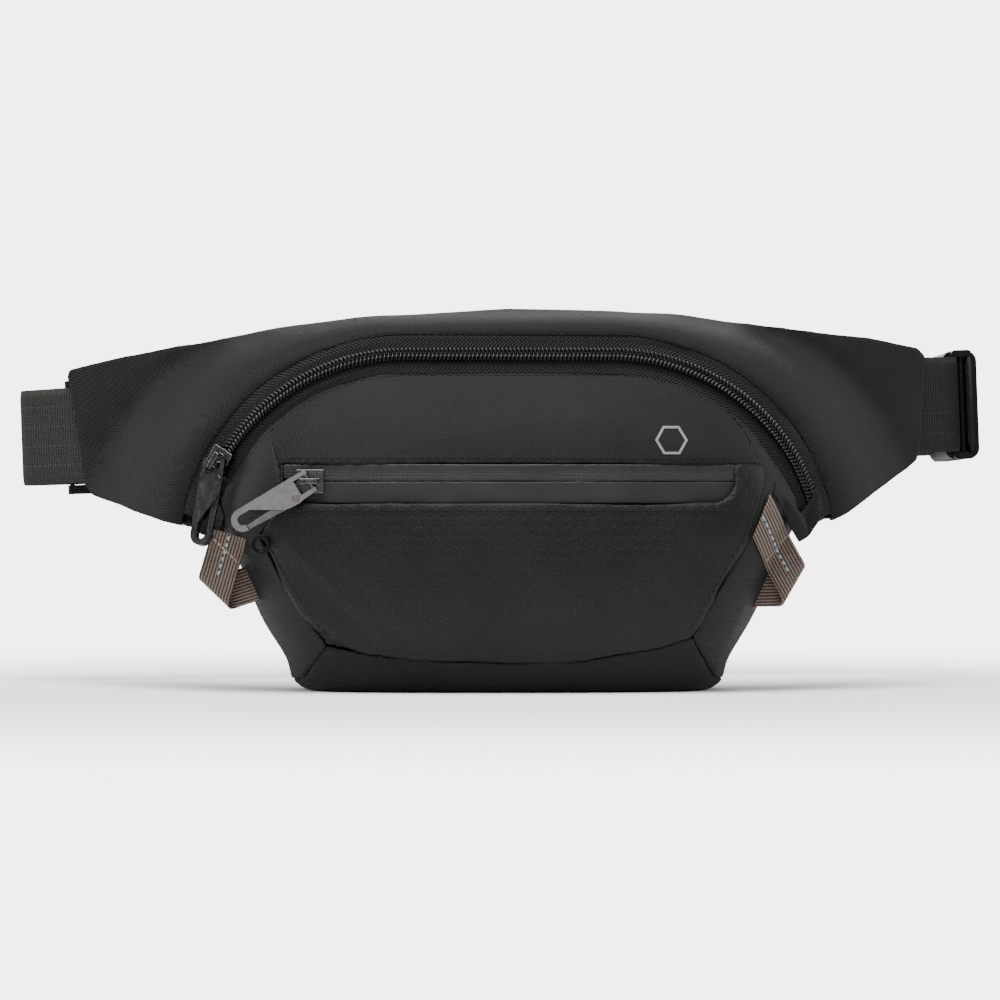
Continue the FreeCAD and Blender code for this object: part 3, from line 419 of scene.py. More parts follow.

# %% [markdown]
# The zip tape is a herringbone: ribs that slant one way and then the other across it, with their
# tops painted lighter as a painted highlight. The brown loops have raised ribs along their length,
# with painted shade in the gaps between them.

# %% Zip tape and loop weaves
HERRINGBONE_HALF, TAPE_RIB = 0.0026, 0.0015
LOOP_RIB, LOOP_KNOT = 0.0012, 0.0009
tape_finish = Finish("zip_tape_weave", BLACK_YARN, 0.6, sheen_weight=0.01,
                     specular_ior_level=0.14)
u, v = tape_finish.strip()
rib = (u + v.calc("PINGPONG", HERRINGBONE_HALF)).wave(TAPE_RIB)
tape_finish.raised(rib, 0.00022)
# Rib tops painted lighter: a painted highlight.
tape_finish.tinted((0.0025, 0.0025, 0.0026), (0.015, 0.0151, 0.0155), rib.ramp(-1.0, 1.0))
loop_finish = Finish("loop_weave", (0.12, 0.09, 0.07), 0.7, sheen_weight=0.05,
                     sheen_roughness=0.4, specular_ior_level=0.15)
u, v = loop_finish.strip()
height = (u + v * 0.5).wave(LOOP_KNOT) * 0.3 + v.wave(LOOP_RIB)
loop_finish.raised(height, 0.00015)
# Ribs painted light and the gaps between them dark: painted highlight and painted shade.
loop_finish.tinted((0.02, 0.0165, 0.0145), (0.17, 0.125, 0.105), height.ramp(-0.9, 0.5))
blue_thread = cloth("blue_thread", (0.19, 0.27, 0.33), (0.32, 0.42, 0.5), 0.6, 0.00003,
                    SEWING_PITCH)
tan_thread = cloth("tan_thread", (0.2, 0.15, 0.11), (0.33, 0.26, 0.2), 0.6, 0.00003,
                   SEWING_PITCH)
print("webbing finishes made")

# %% [markdown]
# ## Turning plain panels into sewn cloth
# The frame's cloth panels are plain closed shells. A voxel remesh gives each one an even skin
# of small faces and rounds its cut edges, as cloth that is turned under at a seam does. The
# even skin can then take folds. Hand-modelling each panel would give neater faces but would
# have to be redone for every change of size.

# %% Piece helpers
def apply_modifiers(piece):
    graph = bpy.context.evaluated_depsgraph_get()
    done = bpy.data.meshes.new_from_object(piece.evaluated_get(graph))
    piece.modifiers.clear()
    piece.data = done


def shade(piece, smooth=True):
    faces = piece.data.polygons
    faces.foreach_set("use_smooth", [smooth] * len(faces))


def add_piece(name, mesh, finish, slot, body="bag"):
    piece = put_in_scene(name, mesh)
    piece.data.materials.clear()
    piece.data.materials.append(finish.material)
    shade(piece)
    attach(piece, body)
    return piece


print("piece helpers ready")

# %% Skin helpers
MERGE = 0.00001


def reshape(mesh, change):
    """Runs change on an editable copy of the mesh and writes the result back."""
    shape = bmesh.new()
    shape.from_mesh(mesh)
    change(shape)
    shape.to_mesh(mesh)
    shape.free()


def fix_normals(piece):
    reshape(piece.data, lambda shape: bmesh.ops.recalc_face_normals(shape, faces=shape.faces))


def swell(mesh, amount):
    """Moves every point of a welded mesh out along its normal."""
    def outwards(shape):
        bmesh.ops.remove_doubles(shape, verts=shape.verts, dist=MERGE)
        shape.normal_update()
        normals = [v.normal.copy() for v in shape.verts]
        for point, normal in zip(shape.verts, normals):
            point.co += normal * amount

    reshape(mesh, outwards)


def remesh(piece, voxel, rounding=0):
    """Gives a piece an even skin of small faces, smoothed over a few times."""
    skin = piece.modifiers.new("skin", "REMESH")
    skin.mode = "VOXEL"
    skin.voxel_size = voxel
    if rounding:
        smooth = piece.modifiers.new("round", "SMOOTH")
        smooth.factor = 0.5
        smooth.iterations = rounding
    apply_modifiers(piece)


def soft_copy(name, source, voxel, finish, slot, rounding=3, spare=0.0):
    """A remeshed, slightly rounded copy of a cloth node that stands for it.

    Where the cloth is thinner than a voxel the remesh would tear, so spare fattens it for the
    remesh and is taken off again afterwards."""
    piece = add_piece(name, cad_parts[source].data.copy(), finish, slot)
    if spare:
        swell(piece.data, spare)
    remesh(piece, voxel, rounding)
    if spare:
        swell(piece.data, -spare)
    shade(piece)
    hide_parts(source)
    return piece


print("skin helpers ready")

# %% Fold helpers
def shift_along_normals(piece, amount):
    """Moves each point along its normal by amount(place, normal), in metres."""
    normals = [v.normal.copy() for v in piece.data.vertices]
    for point, normal in zip(piece.data.vertices, normals):
        point.co += normal * amount(point.co, normal)
    piece.data.update()


def folds(place, stretch, seed):
    """Sharp-crested soft noise between -1 and 1; stretch holds folds per metre on each axis."""
    at = Vector((place.x * stretch[0] + seed, place.y * stretch[1], place.z * stretch[2]))
    broad = 1 - 2 * abs(noise.noise(at))
    fine = noise.noise(at * 2.3)
    return 0.7 * (broad - 0.6) + 0.3 * fine


print("fold helpers ready")

# %% [markdown]
# ## Wings
# One large panel wraps over the top of the pouch and runs out into both wings. It is padded, so
# it swells between its seams. Cloth simulation does that well: a coarse copy of the panel is
# blown up a little with no gravity, and the movement of its points is then lent to the fine
# mesh. That keeps the small faces and the seams while the shape comes from the simulation.

# %% Puff helper
PUFF_VOXEL, PUFF_FRAMES = 0.0042, 14
PUFF_PRESSURE, PUFF_LIMIT, PUFF_SHARE = 3.0, 0.0035, 0.8
NEIGHBOURS = 6


def puffed_shift(source):
    """Places of a coarse copy's points, and how each moves when it is blown up."""
    pad = put_in_scene("pad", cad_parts[source].data.copy())
    remesh(pad, PUFF_VOXEL)
    before = [v.co.copy() for v in pad.data.vertices]
    cloth_sim = pad.modifiers.new("cloth", "CLOTH")
    cloth_sim.settings.quality = 4
    cloth_sim.settings.use_pressure = True
    cloth_sim.settings.uniform_pressure_force = PUFF_PRESSURE
    cloth_sim.settings.tension_stiffness = 30
    cloth_sim.settings.bending_stiffness = 0.6
    cloth_sim.settings.effector_weights.gravity = 0
    cloth_sim.point_cache.frame_start = 1
    cloth_sim.point_cache.frame_end = PUFF_FRAMES
    for step in range(1, PUFF_FRAMES + 1):
        bpy.context.scene.frame_set(step)
    graph = bpy.context.evaluated_depsgraph_get()
    after = [v.co.copy() for v in pad.evaluated_get(graph).data.vertices]
    bpy.context.scene.frame_set(1)
    bpy.data.objects.remove(pad)
    moves = [b - a for a, b in zip(before, after)]
    return before, [m * min(1.0, PUFF_LIMIT / max(m.length, 1e-9)) for m in moves]


def lend_shift(piece, before, moves):
    """Moves the fine mesh with the nearest points of the coarse one."""
    tree = kdtree.KDTree(len(before))
    for i, place in enumerate(before):
        tree.insert(place, i)
    tree.balance()
    for point in piece.data.vertices:
        near = tree.find_n(point.co, NEIGHBOURS)
        weights = [1 / (d * d + 1e-7) for _, _, d in near]
        total = sum(weights)
        move = Vector()
        for (_, i, _), w in zip(near, weights):
            move += moves[i] * (w / total)
        point.co += move * PUFF_SHARE
    piece.data.update()


print("puff frames:", PUFF_FRAMES)

# %% Wing panel
wings = soft_copy("wing_panel", "upper_body_panel", 0.001, wing_twill, "wing_twill", 5, 0.0006)
lend_shift(wings, *puffed_shift("upper_body_panel"))
ARCH_HALF_FLAT, ARCH_RADIUS = 0.039, 0.080
ARCH_CENTRE = Vector((0, 0.000633, 0.048748))
FAN_DEPTH, SOFT_DEPTH, BACK_NORMAL = 0.0011, 0.0009, 0.2


def wing_creases(place, normal):
    """Folds that fan out from the arch's shoulders and die away at the tips and the top."""
    beside = abs(place.x) - ARCH_HALF_FLAT
    out = math.hypot(max(beside, 0), place.z - ARCH_CENTRE.z) - ARCH_RADIUS
    ramp = max(0.0, min(1.0, (abs(place.x) - 0.07) / 0.05))
    near_arch = math.exp(-max(out, 0) / 0.03)
    turn = math.atan2(place.z - ARCH_CENTRE.z, max(beside, 0.001))
    side = 5.0 if place.x > 0 else 0.0
    fan = noise.noise(Vector((turn * 5.0 + side, out * 10, 0.3)))
    soft = folds(place, (22, 22, 34), 3.0 + side)
    middle = min(1.0, abs(place.x) / 0.03)
    depth = FAN_DEPTH * fan * near_arch + SOFT_DEPTH * soft * (0.25 + 0.75 * ramp)
    return depth * middle * (normal.y < BACK_NORMAL)


shift_along_normals(wings, wing_creases)
print("wing panel points:", len(wings.data.vertices))

# %% [markdown]
# ## Pouch front
# The pouch is five panels round a soft hollow: two at the front, one at each side and one
# below. Empty cloth sags, so the lower front gets shallow upright folds that come from its
# corners, and the other panels get slight ones. The panels are then filled out by a hair, so
# that their seams close.

# %% Pouch panels
SEAM_FILL = 0.0002


def lower_folds(place, normal):
    """Soft folds in the lower front, stronger near its bottom corners."""
    corner = math.exp(-(((abs(place.x) - 0.075) / 0.03) ** 2 + ((place.z - 0.03) / 0.035) ** 2))
    loose = folds(place, (16, 10, 24), 11.0)
    slanted = folds(Vector((place.x + place.z, 0, place.z - place.x)), (38, 1, 9), 4.0)
    return 0.0014 * loose + 0.0024 * corner * slanted


def slight_folds(depth, stretch, seed):
    return lambda place, normal: depth * folds(place, stretch, seed)


PANELS = {
    "front_panel_upper": (front_twill, "front_twill", slight_folds(0.0010, (12, 10, 26), 1.0)),
    "front_panel_lower": (ripstop, "front_ripstop", lower_folds),
    "side_gusset_left": (gusset_weave, "gusset", slight_folds(0.0009, (26, 18, 22), 6.0)),
    "side_gusset_right": (gusset_weave, "gusset", slight_folds(0.0009, (26, 18, 22), 9.0)),
    "bottom_gusset": (bottom_weave, "bottom_fabric", slight_folds(0.0005, (20, 14, 24), 2.0)),
}
pouch_panels = []
for source, (finish, slot, shape) in PANELS.items():
    panel = soft_copy(f"{source}_cloth", source, 0.0008, finish, slot)
    shift_along_normals(panel, shape)
    shift_along_normals(panel, lambda place, normal: SEAM_FILL)
    for point in panel.data.vertices:
        point.co.z = max(point.co.z, 0.0)
    pouch_panels.append(panel)
print("pouch panels:", [len(p.data.vertices) for p in pouch_panels])

# %% [markdown]
# ## Back panel
# The side against the body is spacer mesh over foam, quilted so that it breathes. The holes are
# small dimples in the finish, painted dark as the shade inside them, and the two sewn channels
# are pressed into the mesh itself.

# %% Back panel
back_mesh = Finish("back_mesh", (0.009, 0.0092, 0.0098), 0.75, **CLOTH_GLOSS)
x, _, z = back_mesh.parts(back_mesh.spot())
hole = hexagon_edge(back_mesh, x, z, 0.0034).ramp(0.18, 0.32)
back_mesh.raised(hole, 0.0006)
# The holes are painted dark: painted shade inside them.
back_mesh.tinted((0.004, 0.004, 0.0045), (0.021, 0.0215, 0.0225), hole)
back = soft_copy("back_mesh_panel", "back_panel", 0.0012, back_mesh, "back_mesh")
CHANNELS, CHANNEL_HALF, CHANNEL_DEPTH = (-0.055, 0.055), 0.0022, 0.0016


def quilting(place, normal):
    """Swelling between the sewn channels, on the body side only."""
    if normal.y < 0.3:
        return 0.0
    groove = sum(math.exp(-((place.x - c) / CHANNEL_HALF) ** 2) for c in CHANNELS)
    return 0.0008 * folds(place, (18, 10, 18), 7.0) - CHANNEL_DEPTH * groove


shift_along_normals(back, quilting)
print("back panel points:", len(back.data.vertices))

# %% [markdown]
# ## Hidden layers
# Foam and linings only show through an open zip, but they still get a cloth finish of their
# own, because a gap between seams must never show bare foam.

# %% Hidden layers
for source, slot in (("back_foam", "foam"), ("wing_foam_left", "foam"),
                     ("wing_foam_right", "foam"), ("main_lining", "lining"),
                     ("pocket_lining", "lining")):
    finish = gusset_weave if slot == "foam" else lining_weave
    inner = soft_copy(f"{source}_layer", source, 0.0014, finish, slot, 1)
    slot == "foam"
print("hidden layers done")

# %% [markdown]
# ## Sweeping strips
# Zip tape and webbing are strips with one cross section all the way along. A small sweep
# function carries a section along a row of stations, and lays the lengthwise map as it goes,
# which a curve object with a bevel could not do in metres.

# %% Strip helpers
def tube_faces(rings, count):
    """Faces of a closed tube: rings of count points each, with an end face at both ends."""
    faces = []
    for i in range(rings - 1):
        for j in range(count):
            k = (j + 1) % count
            faces.append((i * count + j, i * count + k, (i + 1) * count + k, (i + 1) * count + j))
    last = (rings - 1) * count
    return faces + [tuple(reversed(range(count))), tuple(last + j for j in range(count))]


def strip_piece(name, places, faces, map_of, finish, slot):
    """A strip with its lengthwise map; map_of gives u and v for a point's number."""
    mesh = new_mesh(name, places, faces)
    strip_map = mesh.uv_layers.new(name=STRIP_MAP)
    for loop in mesh.loops:
        strip_map.data[loop.index].uv = map_of(loop.vertex_index)
    piece = add_piece(name, mesh, finish, slot)
    fix_normals(piece)
    return piece


print("strip helpers ready")

# %% Sweep helper
def sweep(name, stations, section, finish, slot):
    """stations: (place, across, out, distance along); section: (across, out) points."""
    count = len(section)
    places = [p + a * w + o * t for p, a, o, _ in stations for w, t in section]
    return strip_piece(name, places, tube_faces(len(stations), count),
                       lambda n: (stations[n // count][3], section[n % count][0]), finish, slot)


def flat_section(low, high, under, over, steps=10, edge=0.0002):
    """A thin strip's section with its two edges rounded a little."""
    span = [low + (high - low) * i / steps for i in range(steps + 1)]
    top = [(w, over) for w in span[1:-1]]
    bottom = [(w, under) for w in reversed(span[1:-1])]
    return [(low, under + edge), (low, over - edge), *top, (high, over - edge),
            (high, under + edge), *bottom]


print("sweep ready")

# %% [markdown]
# ## Main zip
# The chain follows a flat top and two round shoulders in a plane that leans forward, and the
# tape faces outwards from that arch. One function gives the place and the three directions at
# any distance along it. The tape and the beads stand on that function, and the stitches follow
# the same arch.

# %% The arch
ARCH_TILT, TAPE_FACING = math.radians(12), math.radians(32)
UP_ARCH = Vector((0, -math.sin(ARCH_TILT), math.cos(ARCH_TILT)))
OUT_ARCH = Vector((1, 0, 0)).cross(UP_ARCH)
TAPE_END, CHAIN_END, SLIDER_REST = math.radians(12), math.radians(14.5), math.radians(29)
SHOULDER_RUN = ARCH_RADIUS * (math.pi / 2 - TAPE_END)
ARCH_RUN = 2 * SHOULDER_RUN + 2 * ARCH_HALF_FLAT
STATION_GAP = 0.002


def arch_station(s):
    """Place, across and out directions of the tape, s metres from its left end."""
    if s < SHOULDER_RUN:
        angle = math.pi - TAPE_END - s / ARCH_RADIUS
        middle = -ARCH_HALF_FLAT
    elif s < SHOULDER_RUN + 2 * ARCH_HALF_FLAT:
        angle = math.pi / 2
        middle = s - SHOULDER_RUN - ARCH_HALF_FLAT
    else:
        angle = math.pi / 2 - (s - SHOULDER_RUN - 2 * ARCH_HALF_FLAT) / ARCH_RADIUS
        middle = ARCH_HALF_FLAT
    radial = Vector((math.cos(angle), 0, 0)) + UP_ARCH * math.sin(angle)
    place = ARCH_CENTRE + Vector((middle, 0, 0)) + radial * ARCH_RADIUS
    across = radial * math.cos(TAPE_FACING) - OUT_ARCH * math.sin(TAPE_FACING)
    out = radial * math.sin(TAPE_FACING) + OUT_ARCH * math.cos(TAPE_FACING)
    return place, across, out, s


def arch_stations(start, end):
    count = max(2, round((end - start) / STATION_GAP) + 1)
    return [arch_station(start + (end - start) * i / (count - 1)) for i in range(count)]


print("arch length in mm:", round(ARCH_RUN / MM, 1))

# %% Tapes and the cord under the beads
TAPE_UNDER, TAPE_EDGE, TAPE_TUCK = 0.0008, 0.0011, 0.0081
BED_HALF, BED_UNDER, BED_OVER = 0.0012, 0.0004, 0.0009
tapes = []
for side, low, high in (("outer", TAPE_EDGE, TAPE_TUCK), ("inner", -TAPE_TUCK, -TAPE_EDGE)):
    tape = sweep(f"main_tape_{side}", arch_stations(0, ARCH_RUN),
                 flat_section(low, high, -TAPE_UNDER, 0.0), tape_finish, "zip_tape")
    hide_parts(f"main_zip_tape_{side}")
    tapes.append(tape)
chain_start = ARCH_RADIUS * (SLIDER_REST - TAPE_END)
chain_end = ARCH_RUN - ARCH_RADIUS * (CHAIN_END - TAPE_END)
sweep("main_coil_bed", arch_stations(chain_start, chain_end),
      flat_section(-BED_HALF, BED_HALF, -BED_UNDER, BED_OVER, 6), coil_nylon, "zip_coil")
print("tape pieces made")

# %% [markdown]
# ## Coil beads
# A coil zip's two rows are turns of one stiff nylon thread. From outside, each turn is a shiny
# bead that is longer across the chain than along it, and the two rows interlock half a turn
# apart. Small smooth beads in two rows give that look and take far fewer faces than two real
# helices that are almost wholly hidden.

# %% Bead helpers
def bead_shape(rings, sides):
    """Unit bead as (points, faces), with flat-topped ends."""
    points = []
    for i in range(rings):
        turn = math.pi * (i + 0.5) / rings
        across = -math.copysign(abs(math.cos(turn)) ** 0.8, math.cos(turn))
        round_ = math.sin(turn) ** 0.7
        for j in range(sides):
            a = 2 * math.pi * j / sides
            points.append((across, math.cos(a) * round_, math.sin(a) * round_))
    return points, tube_faces(rings, sides)


def merged_copies(name, shape, frames, finish, slot):
    """One mesh of many copies; each frame is (place, x, y, z) with scaled axes."""
    points, faces = shape
    places, polygons = [], []
    for place, ax, ay, az in frames:
        first = len(places)
        places += [place + ax * p[0] + ay * p[1] + az * p[2] for p in points]
        polygons += [tuple(first + i for i in face) for face in faces]
    piece = add_piece(name, new_mesh(name, places, polygons), finish, slot)
    fix_normals(piece)
    return piece


print("points in a bead:", len(bead_shape(7, 10)[0]))

# %% Beads
BEAD_PITCH, BEAD_ASIDE, BEAD_LIFT, BEAD_LEAN = 0.00152, 0.00132, 0.00095, 0.3
BEAD_ACROSS, BEAD_ALONG, BEAD_TALL = 0.00148, 0.00072, 0.00092


def bead_row(side):
    """Frames for the beads of one row; side is 1 outside the middle and -1 inside it."""
    frames = []
    s = chain_start + (BEAD_PITCH / 2 if side < 0 else 0.0)
    while s < chain_end:
        place, across, out, _ = arch_station(s)
        along = out.cross(across).normalized()
        lean = (across + along * BEAD_LEAN * side).normalized()
        centre = place + across * side * BEAD_ASIDE + out * BEAD_LIFT
        frames.append((centre, lean * BEAD_ACROSS, along * BEAD_ALONG, out * BEAD_TALL))
        s += BEAD_PITCH
    return frames


for side, source in ((1, "main_zip_coil_outer"), (-1, "main_zip_coil_inner")):
    beads = merged_copies(f"{source}_beads", bead_shape(7, 10), bead_row(side), coil_nylon,
                          "zip_coil")
    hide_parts(source)
print("beads in a row:", len(bead_row(1)))

# %% [markdown]
# ## Pocket zip
# The pocket's zip is under a laminated tape with a slit along its middle. Glued film is never
# quite flat, so the tape's front gets a slight unevenness.

# %% Pocket tape
def tape_swell(place, normal):
    if normal.y > -0.3:
        return 0.0
    return 0.00025 * noise.noise(Vector((place.x * 60, (place.z - POCKET_SLIT_Z) * 200, 4.0)))


for side in ("upper", "lower"):
    strip = soft_copy(f"pocket_tape_{side}", f"pocket_zip_tape_{side}", 0.0004, film,
                      "coated_tape", 1)
    shift_along_normals(strip, tape_swell)
print("pocket tape done")

# %% [markdown]
# ## Zip ends
# Where the main chain meets the wing, folded tabs of cloth cover the tape's raw ends. Each fold
# is drawn as a flat outline that stands just in front of whatever lies behind it. A remesh then
# joins the folds into one soft piece, and the step between them stays as a crease.

# %% Finding the cloth's front
def surface_tree(pieces):
    """One search tree over several pieces, for finding the cloth's front."""
    points, faces = [], []
    for piece in pieces:
        first = len(points)
        points += [v.co.copy() for v in piece.data.vertices]
        faces += [tuple(first + i for i in p.vertices) for p in piece.data.polygons]
    return BVHTree.FromPolygons(points, faces)


def front_hit(tree, x, z):
    """Place and normal of the first surface met from the front, or None twice."""
    return tree.ray_cast(Vector((x, -0.5, z)), Vector((0, 1, 0)))[:2]


end_tree = surface_tree([*pouch_panels, wings, *tapes])
print("upper front at:", front_hit(end_tree, 0.0, 0.1)[0])

# %% Zip end helper
TAB_VOXEL, TAB_ROUNDING, TAB_STEP = 0.0005, 7, 0.002


def folded_tab(name, source, folds_drawn):
    """Each fold is its (x, z) outline in millimetres, how proud it stands and its thickness."""
    shape = bmesh.new()
    for outline, proud, thick in folds_drawn:
        hits = [front_hit(end_tree, x * MM, z * MM)[0] for x, z in outline]
        depths = sorted(hit.y for hit in hits if hit)
        usual = depths[len(depths) // 2]
        fronts = [min(hit.y, usual + TAB_STEP) if hit else usual for hit in hits]
        near = [shape.verts.new((x * MM, y - proud, z * MM)) for (x, z), y in zip(outline, fronts)]
        far = [shape.verts.new(v.co + Vector((0, thick, 0))) for v in near]
        shape.faces.new(near)
        shape.faces.new(reversed(far))
        for i, (a, b) in enumerate(zip(near, near[1:] + near[:1])):
            shape.faces.new((a, far[i], far[(i + 1) % len(far)], b))
    bmesh.ops.recalc_face_normals(shape, faces=shape.faces)
    mesh = bpy.data.meshes.new(name)
    shape.to_mesh(mesh)
    shape.free()
    tab = add_piece(name, mesh, front_twill, "zip_tape")
    remesh(tab, TAB_VOXEL, TAB_ROUNDING)
    shade(tab)
    shift_along_normals(tab, slight_folds(0.0004, (60, 20, 70), 5.0))
    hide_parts(source)
    return tab


print("tab voxel in mm:", TAB_VOXEL / MM)

# %% Zip end tabs
LEFT_FOLDS = [
    ([(-110.4, 74.0), (-107.6, 66.0), (-109.6, 59.0), (-113.6, 58.0), (-114.0, 66.0)],
     0.0018, 0.0046),
    ([(-116.2, 77.0), (-113.0, 72.0), (-112.4, 62.0), (-114.4, 58.4), (-120.6, 61.0),
      (-119.6, 68.0)], 0.0028, 0.0050),
]
RIGHT_FOLDS = [
    ([(99.9, 79.6), (103.5, 73.9), (111.0, 66.4), (113.2, 58.6), (109.3, 56.0), (104.0, 65.6),
      (99.2, 73.9)], 0.0016, 0.0044),
    ([(110.4, 66.4), (114.2, 71.0), (117.4, 78.0), (119.4, 70.5), (118.6, 64.6), (114.6, 58.6),
      (111.6, 59.6)], 0.0030, 0.0050),
]
end_tabs = [folded_tab(f"zip_end_tab_{side}", f"zip_end_cover_{side}", drawn)
            for side, drawn in (("left", LEFT_FOLDS), ("right", RIGHT_FOLDS))]
print("zip ends:", len(end_tabs))

# %% [markdown]
# ## Belt webbing
# The belt is one flat strip. Its plan is a few straight runs with round corners, and the whole
# belt is rolled a couple of degrees, so it climbs to the right. The strip goes round the
# buckle's far bar and comes back inside itself to the tri-glide, where it turns once more.

# %% Waist circle
WAIST_CENTRE_Y, STRAP_R, TAB_R = 0.300, 0.284, 0.2846


def waist_point(degrees, radius=STRAP_R):
    a = math.radians(degrees)
    return Vector((radius * math.sin(a), WAIST_CENTRE_Y - radius * math.cos(a), 0))


def waist_way(degrees):
    """The waist circle's direction at that point, towards the wearer's left."""
    return Vector((math.cos(math.radians(degrees)), math.sin(math.radians(degrees)), 0))


def tangent_corner(first, last, radius=STRAP_R):
    """Where the waist circle's tangents at two points meet."""
    half = math.radians(abs(last - first)) / 2
    return waist_point((first + last) / 2, radius / math.cos(half))


print("front of the waist circle at y:", round(waist_point(0).y, 4))

# %% Routes with round corners
ROUTE_GAP = 0.003


def beside(way):
    return Vector((-way.y, way.x, 0))


def turned(centre, start, degrees, steps):
    """Points round a centre, from start through so many degrees."""
    return [centre + Matrix.Rotation(math.radians(degrees) * k / steps, 3, "Z") @ (start - centre)
            for k in range(steps + 1)]


def rounded_route(points, radii, offset=0.0):
    """Points along straight runs with round corners, shifted sideways by offset."""
    route = [points[0].copy()]
    for i, radius in enumerate(radii):
        d = (points[i + 1] - points[i]).normalized()
        e = (points[i + 2] - points[i + 1]).normalized()
        turn = math.atan2(d.cross(e).z, d.dot(e))
        start = points[i + 1] - d * radius * math.tan(abs(turn) / 2)
        centre = start + beside(d) * math.copysign(radius, turn)
        steps = max(4, round(abs(turn) * radius / 0.0025), round(abs(turn) / 0.12))
        route += turned(centre, start, math.degrees(turn), steps)
    route.append(points[-1].copy())
    even = spread(route)
    return [p + beside(d) * offset for p, d in zip(even, headings(even))]


def spread(route):
    """The same line with no wide gap and no repeated point."""
    even = [route[0]]
    for p in route[1:]:
        start = even[-1]
        gap = (p - start).length
        if gap >= MERGE:
            count = max(1, round(gap / ROUTE_GAP))
            even += [start.lerp(p, k / count) for k in range(1, count + 1)]
    return even


def headings(route):
    return [(after - before).normalized()
            for before, after in zip(route[:1] + route[:-1], route[1:] + route[-1:])]


print("longest route step in mm:", ROUTE_GAP / MM)

# %% Strips on edge
BELT_Z, BELT_ROLL = 0.105, math.radians(2.1)
WEB_HALF, WEB_THICK = 0.019, 0.0016


def rolled(p):
    return Vector((p.x * math.cos(BELT_ROLL) - p.z * math.sin(BELT_ROLL), p.y,
                   BELT_Z + p.x * math.sin(BELT_ROLL) + p.z * math.cos(BELT_ROLL)))


def rolled_way(way):
    return rolled(way) - rolled(Vector())


def belt_strip(name, route, source, finish):
    """Webbing on edge along a plan route."""
    stations, along = [], 0.0
    up = rolled_way(Vector((0, 0, 1)))
    for i, (p, d) in enumerate(zip(route, headings(route))):
        if i:
            along += (p - route[i - 1]).length
        stations.append((rolled(p), up, rolled_way(beside(d)), along))
    section = flat_section(-WEB_HALF, WEB_HALF, -WEB_THICK / 2, WEB_THICK / 2, 12, 0.0004)
    piece = sweep(name, stations, section, finish, "belt_fabric")
    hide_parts(source)
    print(name, "length in mm:", round(along / MM))
    return piece


print("belt width in mm:", 2 * WEB_HALF / MM)

# %% Outer and inner belt strips
BUCKLE_X, FAR_BAR_Y, LAYER_HALF, BAR_STEPS = 0.1865, 0.151, 0.0021, 14
LEFT_STARTS, LEFT_LEAVES, LEFT_RUN = -26, -36.5, 0.0275
far_bar = Vector((BUCKLE_X, FAR_BAR_Y, 0))
outer_left = waist_point(LEFT_LEAVES) - waist_way(LEFT_LEAVES) * LEFT_RUN
back_left, corner_right = Vector((-0.190, 0.106, 0)), far_bar + Vector((0, 0.021, 0))
outer_route = rounded_route([waist_point(LEFT_STARTS), tangent_corner(LEFT_STARTS, LEFT_LEAVES),
                             outer_left, back_left, corner_right, far_bar],
                            [STRAP_R, 0.008, 0.0045, 0.015], LAYER_HALF)
outer_route += turned(far_bar, far_bar + Vector((LAYER_HALF, 0, 0)), -180, BAR_STEPS)[1:]
belt_strip("belt_strap", outer_route, "belt_webbing", belt_finish)
back_way = (corner_right - back_left).normalized()
glide_centre = back_left + back_way * 0.026
glide_bar = glide_centre - beside(back_way) * 2 * LAYER_HALF
glide_turn = turned(glide_bar, glide_bar + beside(back_way) * LAYER_HALF, 180, BAR_STEPS)[1:]
return_route = rounded_route([glide_centre, corner_right, far_bar], [0.015], -LAYER_HALF)
return_strap = belt_strip("belt_return_strap", glide_turn[::-1] + return_route, "belt_return",
                          belt_finish)
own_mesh(return_strap)

# %% The tab to the buckle
TAB_STARTS, TAB_LEAVES, TAB_TAIL, NEAR_BAR_Y = 25, 36, 0.007, 0.088
tab_x = BUCKLE_X - 0.0027
leaves, tab_way = waist_point(TAB_LEAVES, TAB_R), waist_way(TAB_LEAVES)
near_bar, tab_meets = Vector((BUCKLE_X, NEAR_BAR_Y, 0)), Vector((tab_x, NEAR_BAR_Y, 0))
tab_route = rounded_route([waist_point(TAB_STARTS, TAB_R),
                           tangent_corner(TAB_STARTS, TAB_LEAVES, TAB_R),
                           leaves + tab_way * ((tab_x - leaves.x) / tab_way.x), tab_meets],
                          [TAB_R, 0.003])
tab_route += turned(near_bar, tab_meets, -180, BAR_STEPS)[1:]
tab_route += spread([tab_route[-1], tab_route[-1] - Vector((0, TAB_TAIL, 0))])[1:]
belt_strip("belt_tab", tab_route, "belt_tab_right", painted_shade_tab_finish)

# %% [markdown]
# ## Brown webbing loops
# At each lower corner a short brown strip is folded along a slanting line to make a loop. Paper
# folding is the quickest way to model that: start from a flat strip, and roll everything past
# the fold line round a small radius and back behind itself.

# %% Folding a flat strip
FOLD_RADIUS = 0.0032
FOLD_ARC = math.pi * FOLD_RADIUS
LOOP_WIDE, LOOP_FRONT_Y = 0.0138, -0.0135
LOOP_GAP, LOOP_LIFT, LIFT_RUN = 0.0002, 0.0009, 0.008
LOOP_ROWS, LOOP_COLUMNS = 64, 14
pouch_tree = surface_tree(pouch_panels + end_tabs)


def down(degrees):
    """A direction in the front plane, measured from straight down."""
    return Vector((math.sin(math.radians(degrees)), 0, -math.cos(math.radians(degrees))))


def square_to(way):
    return Vector((-way.z, 0, way.x))


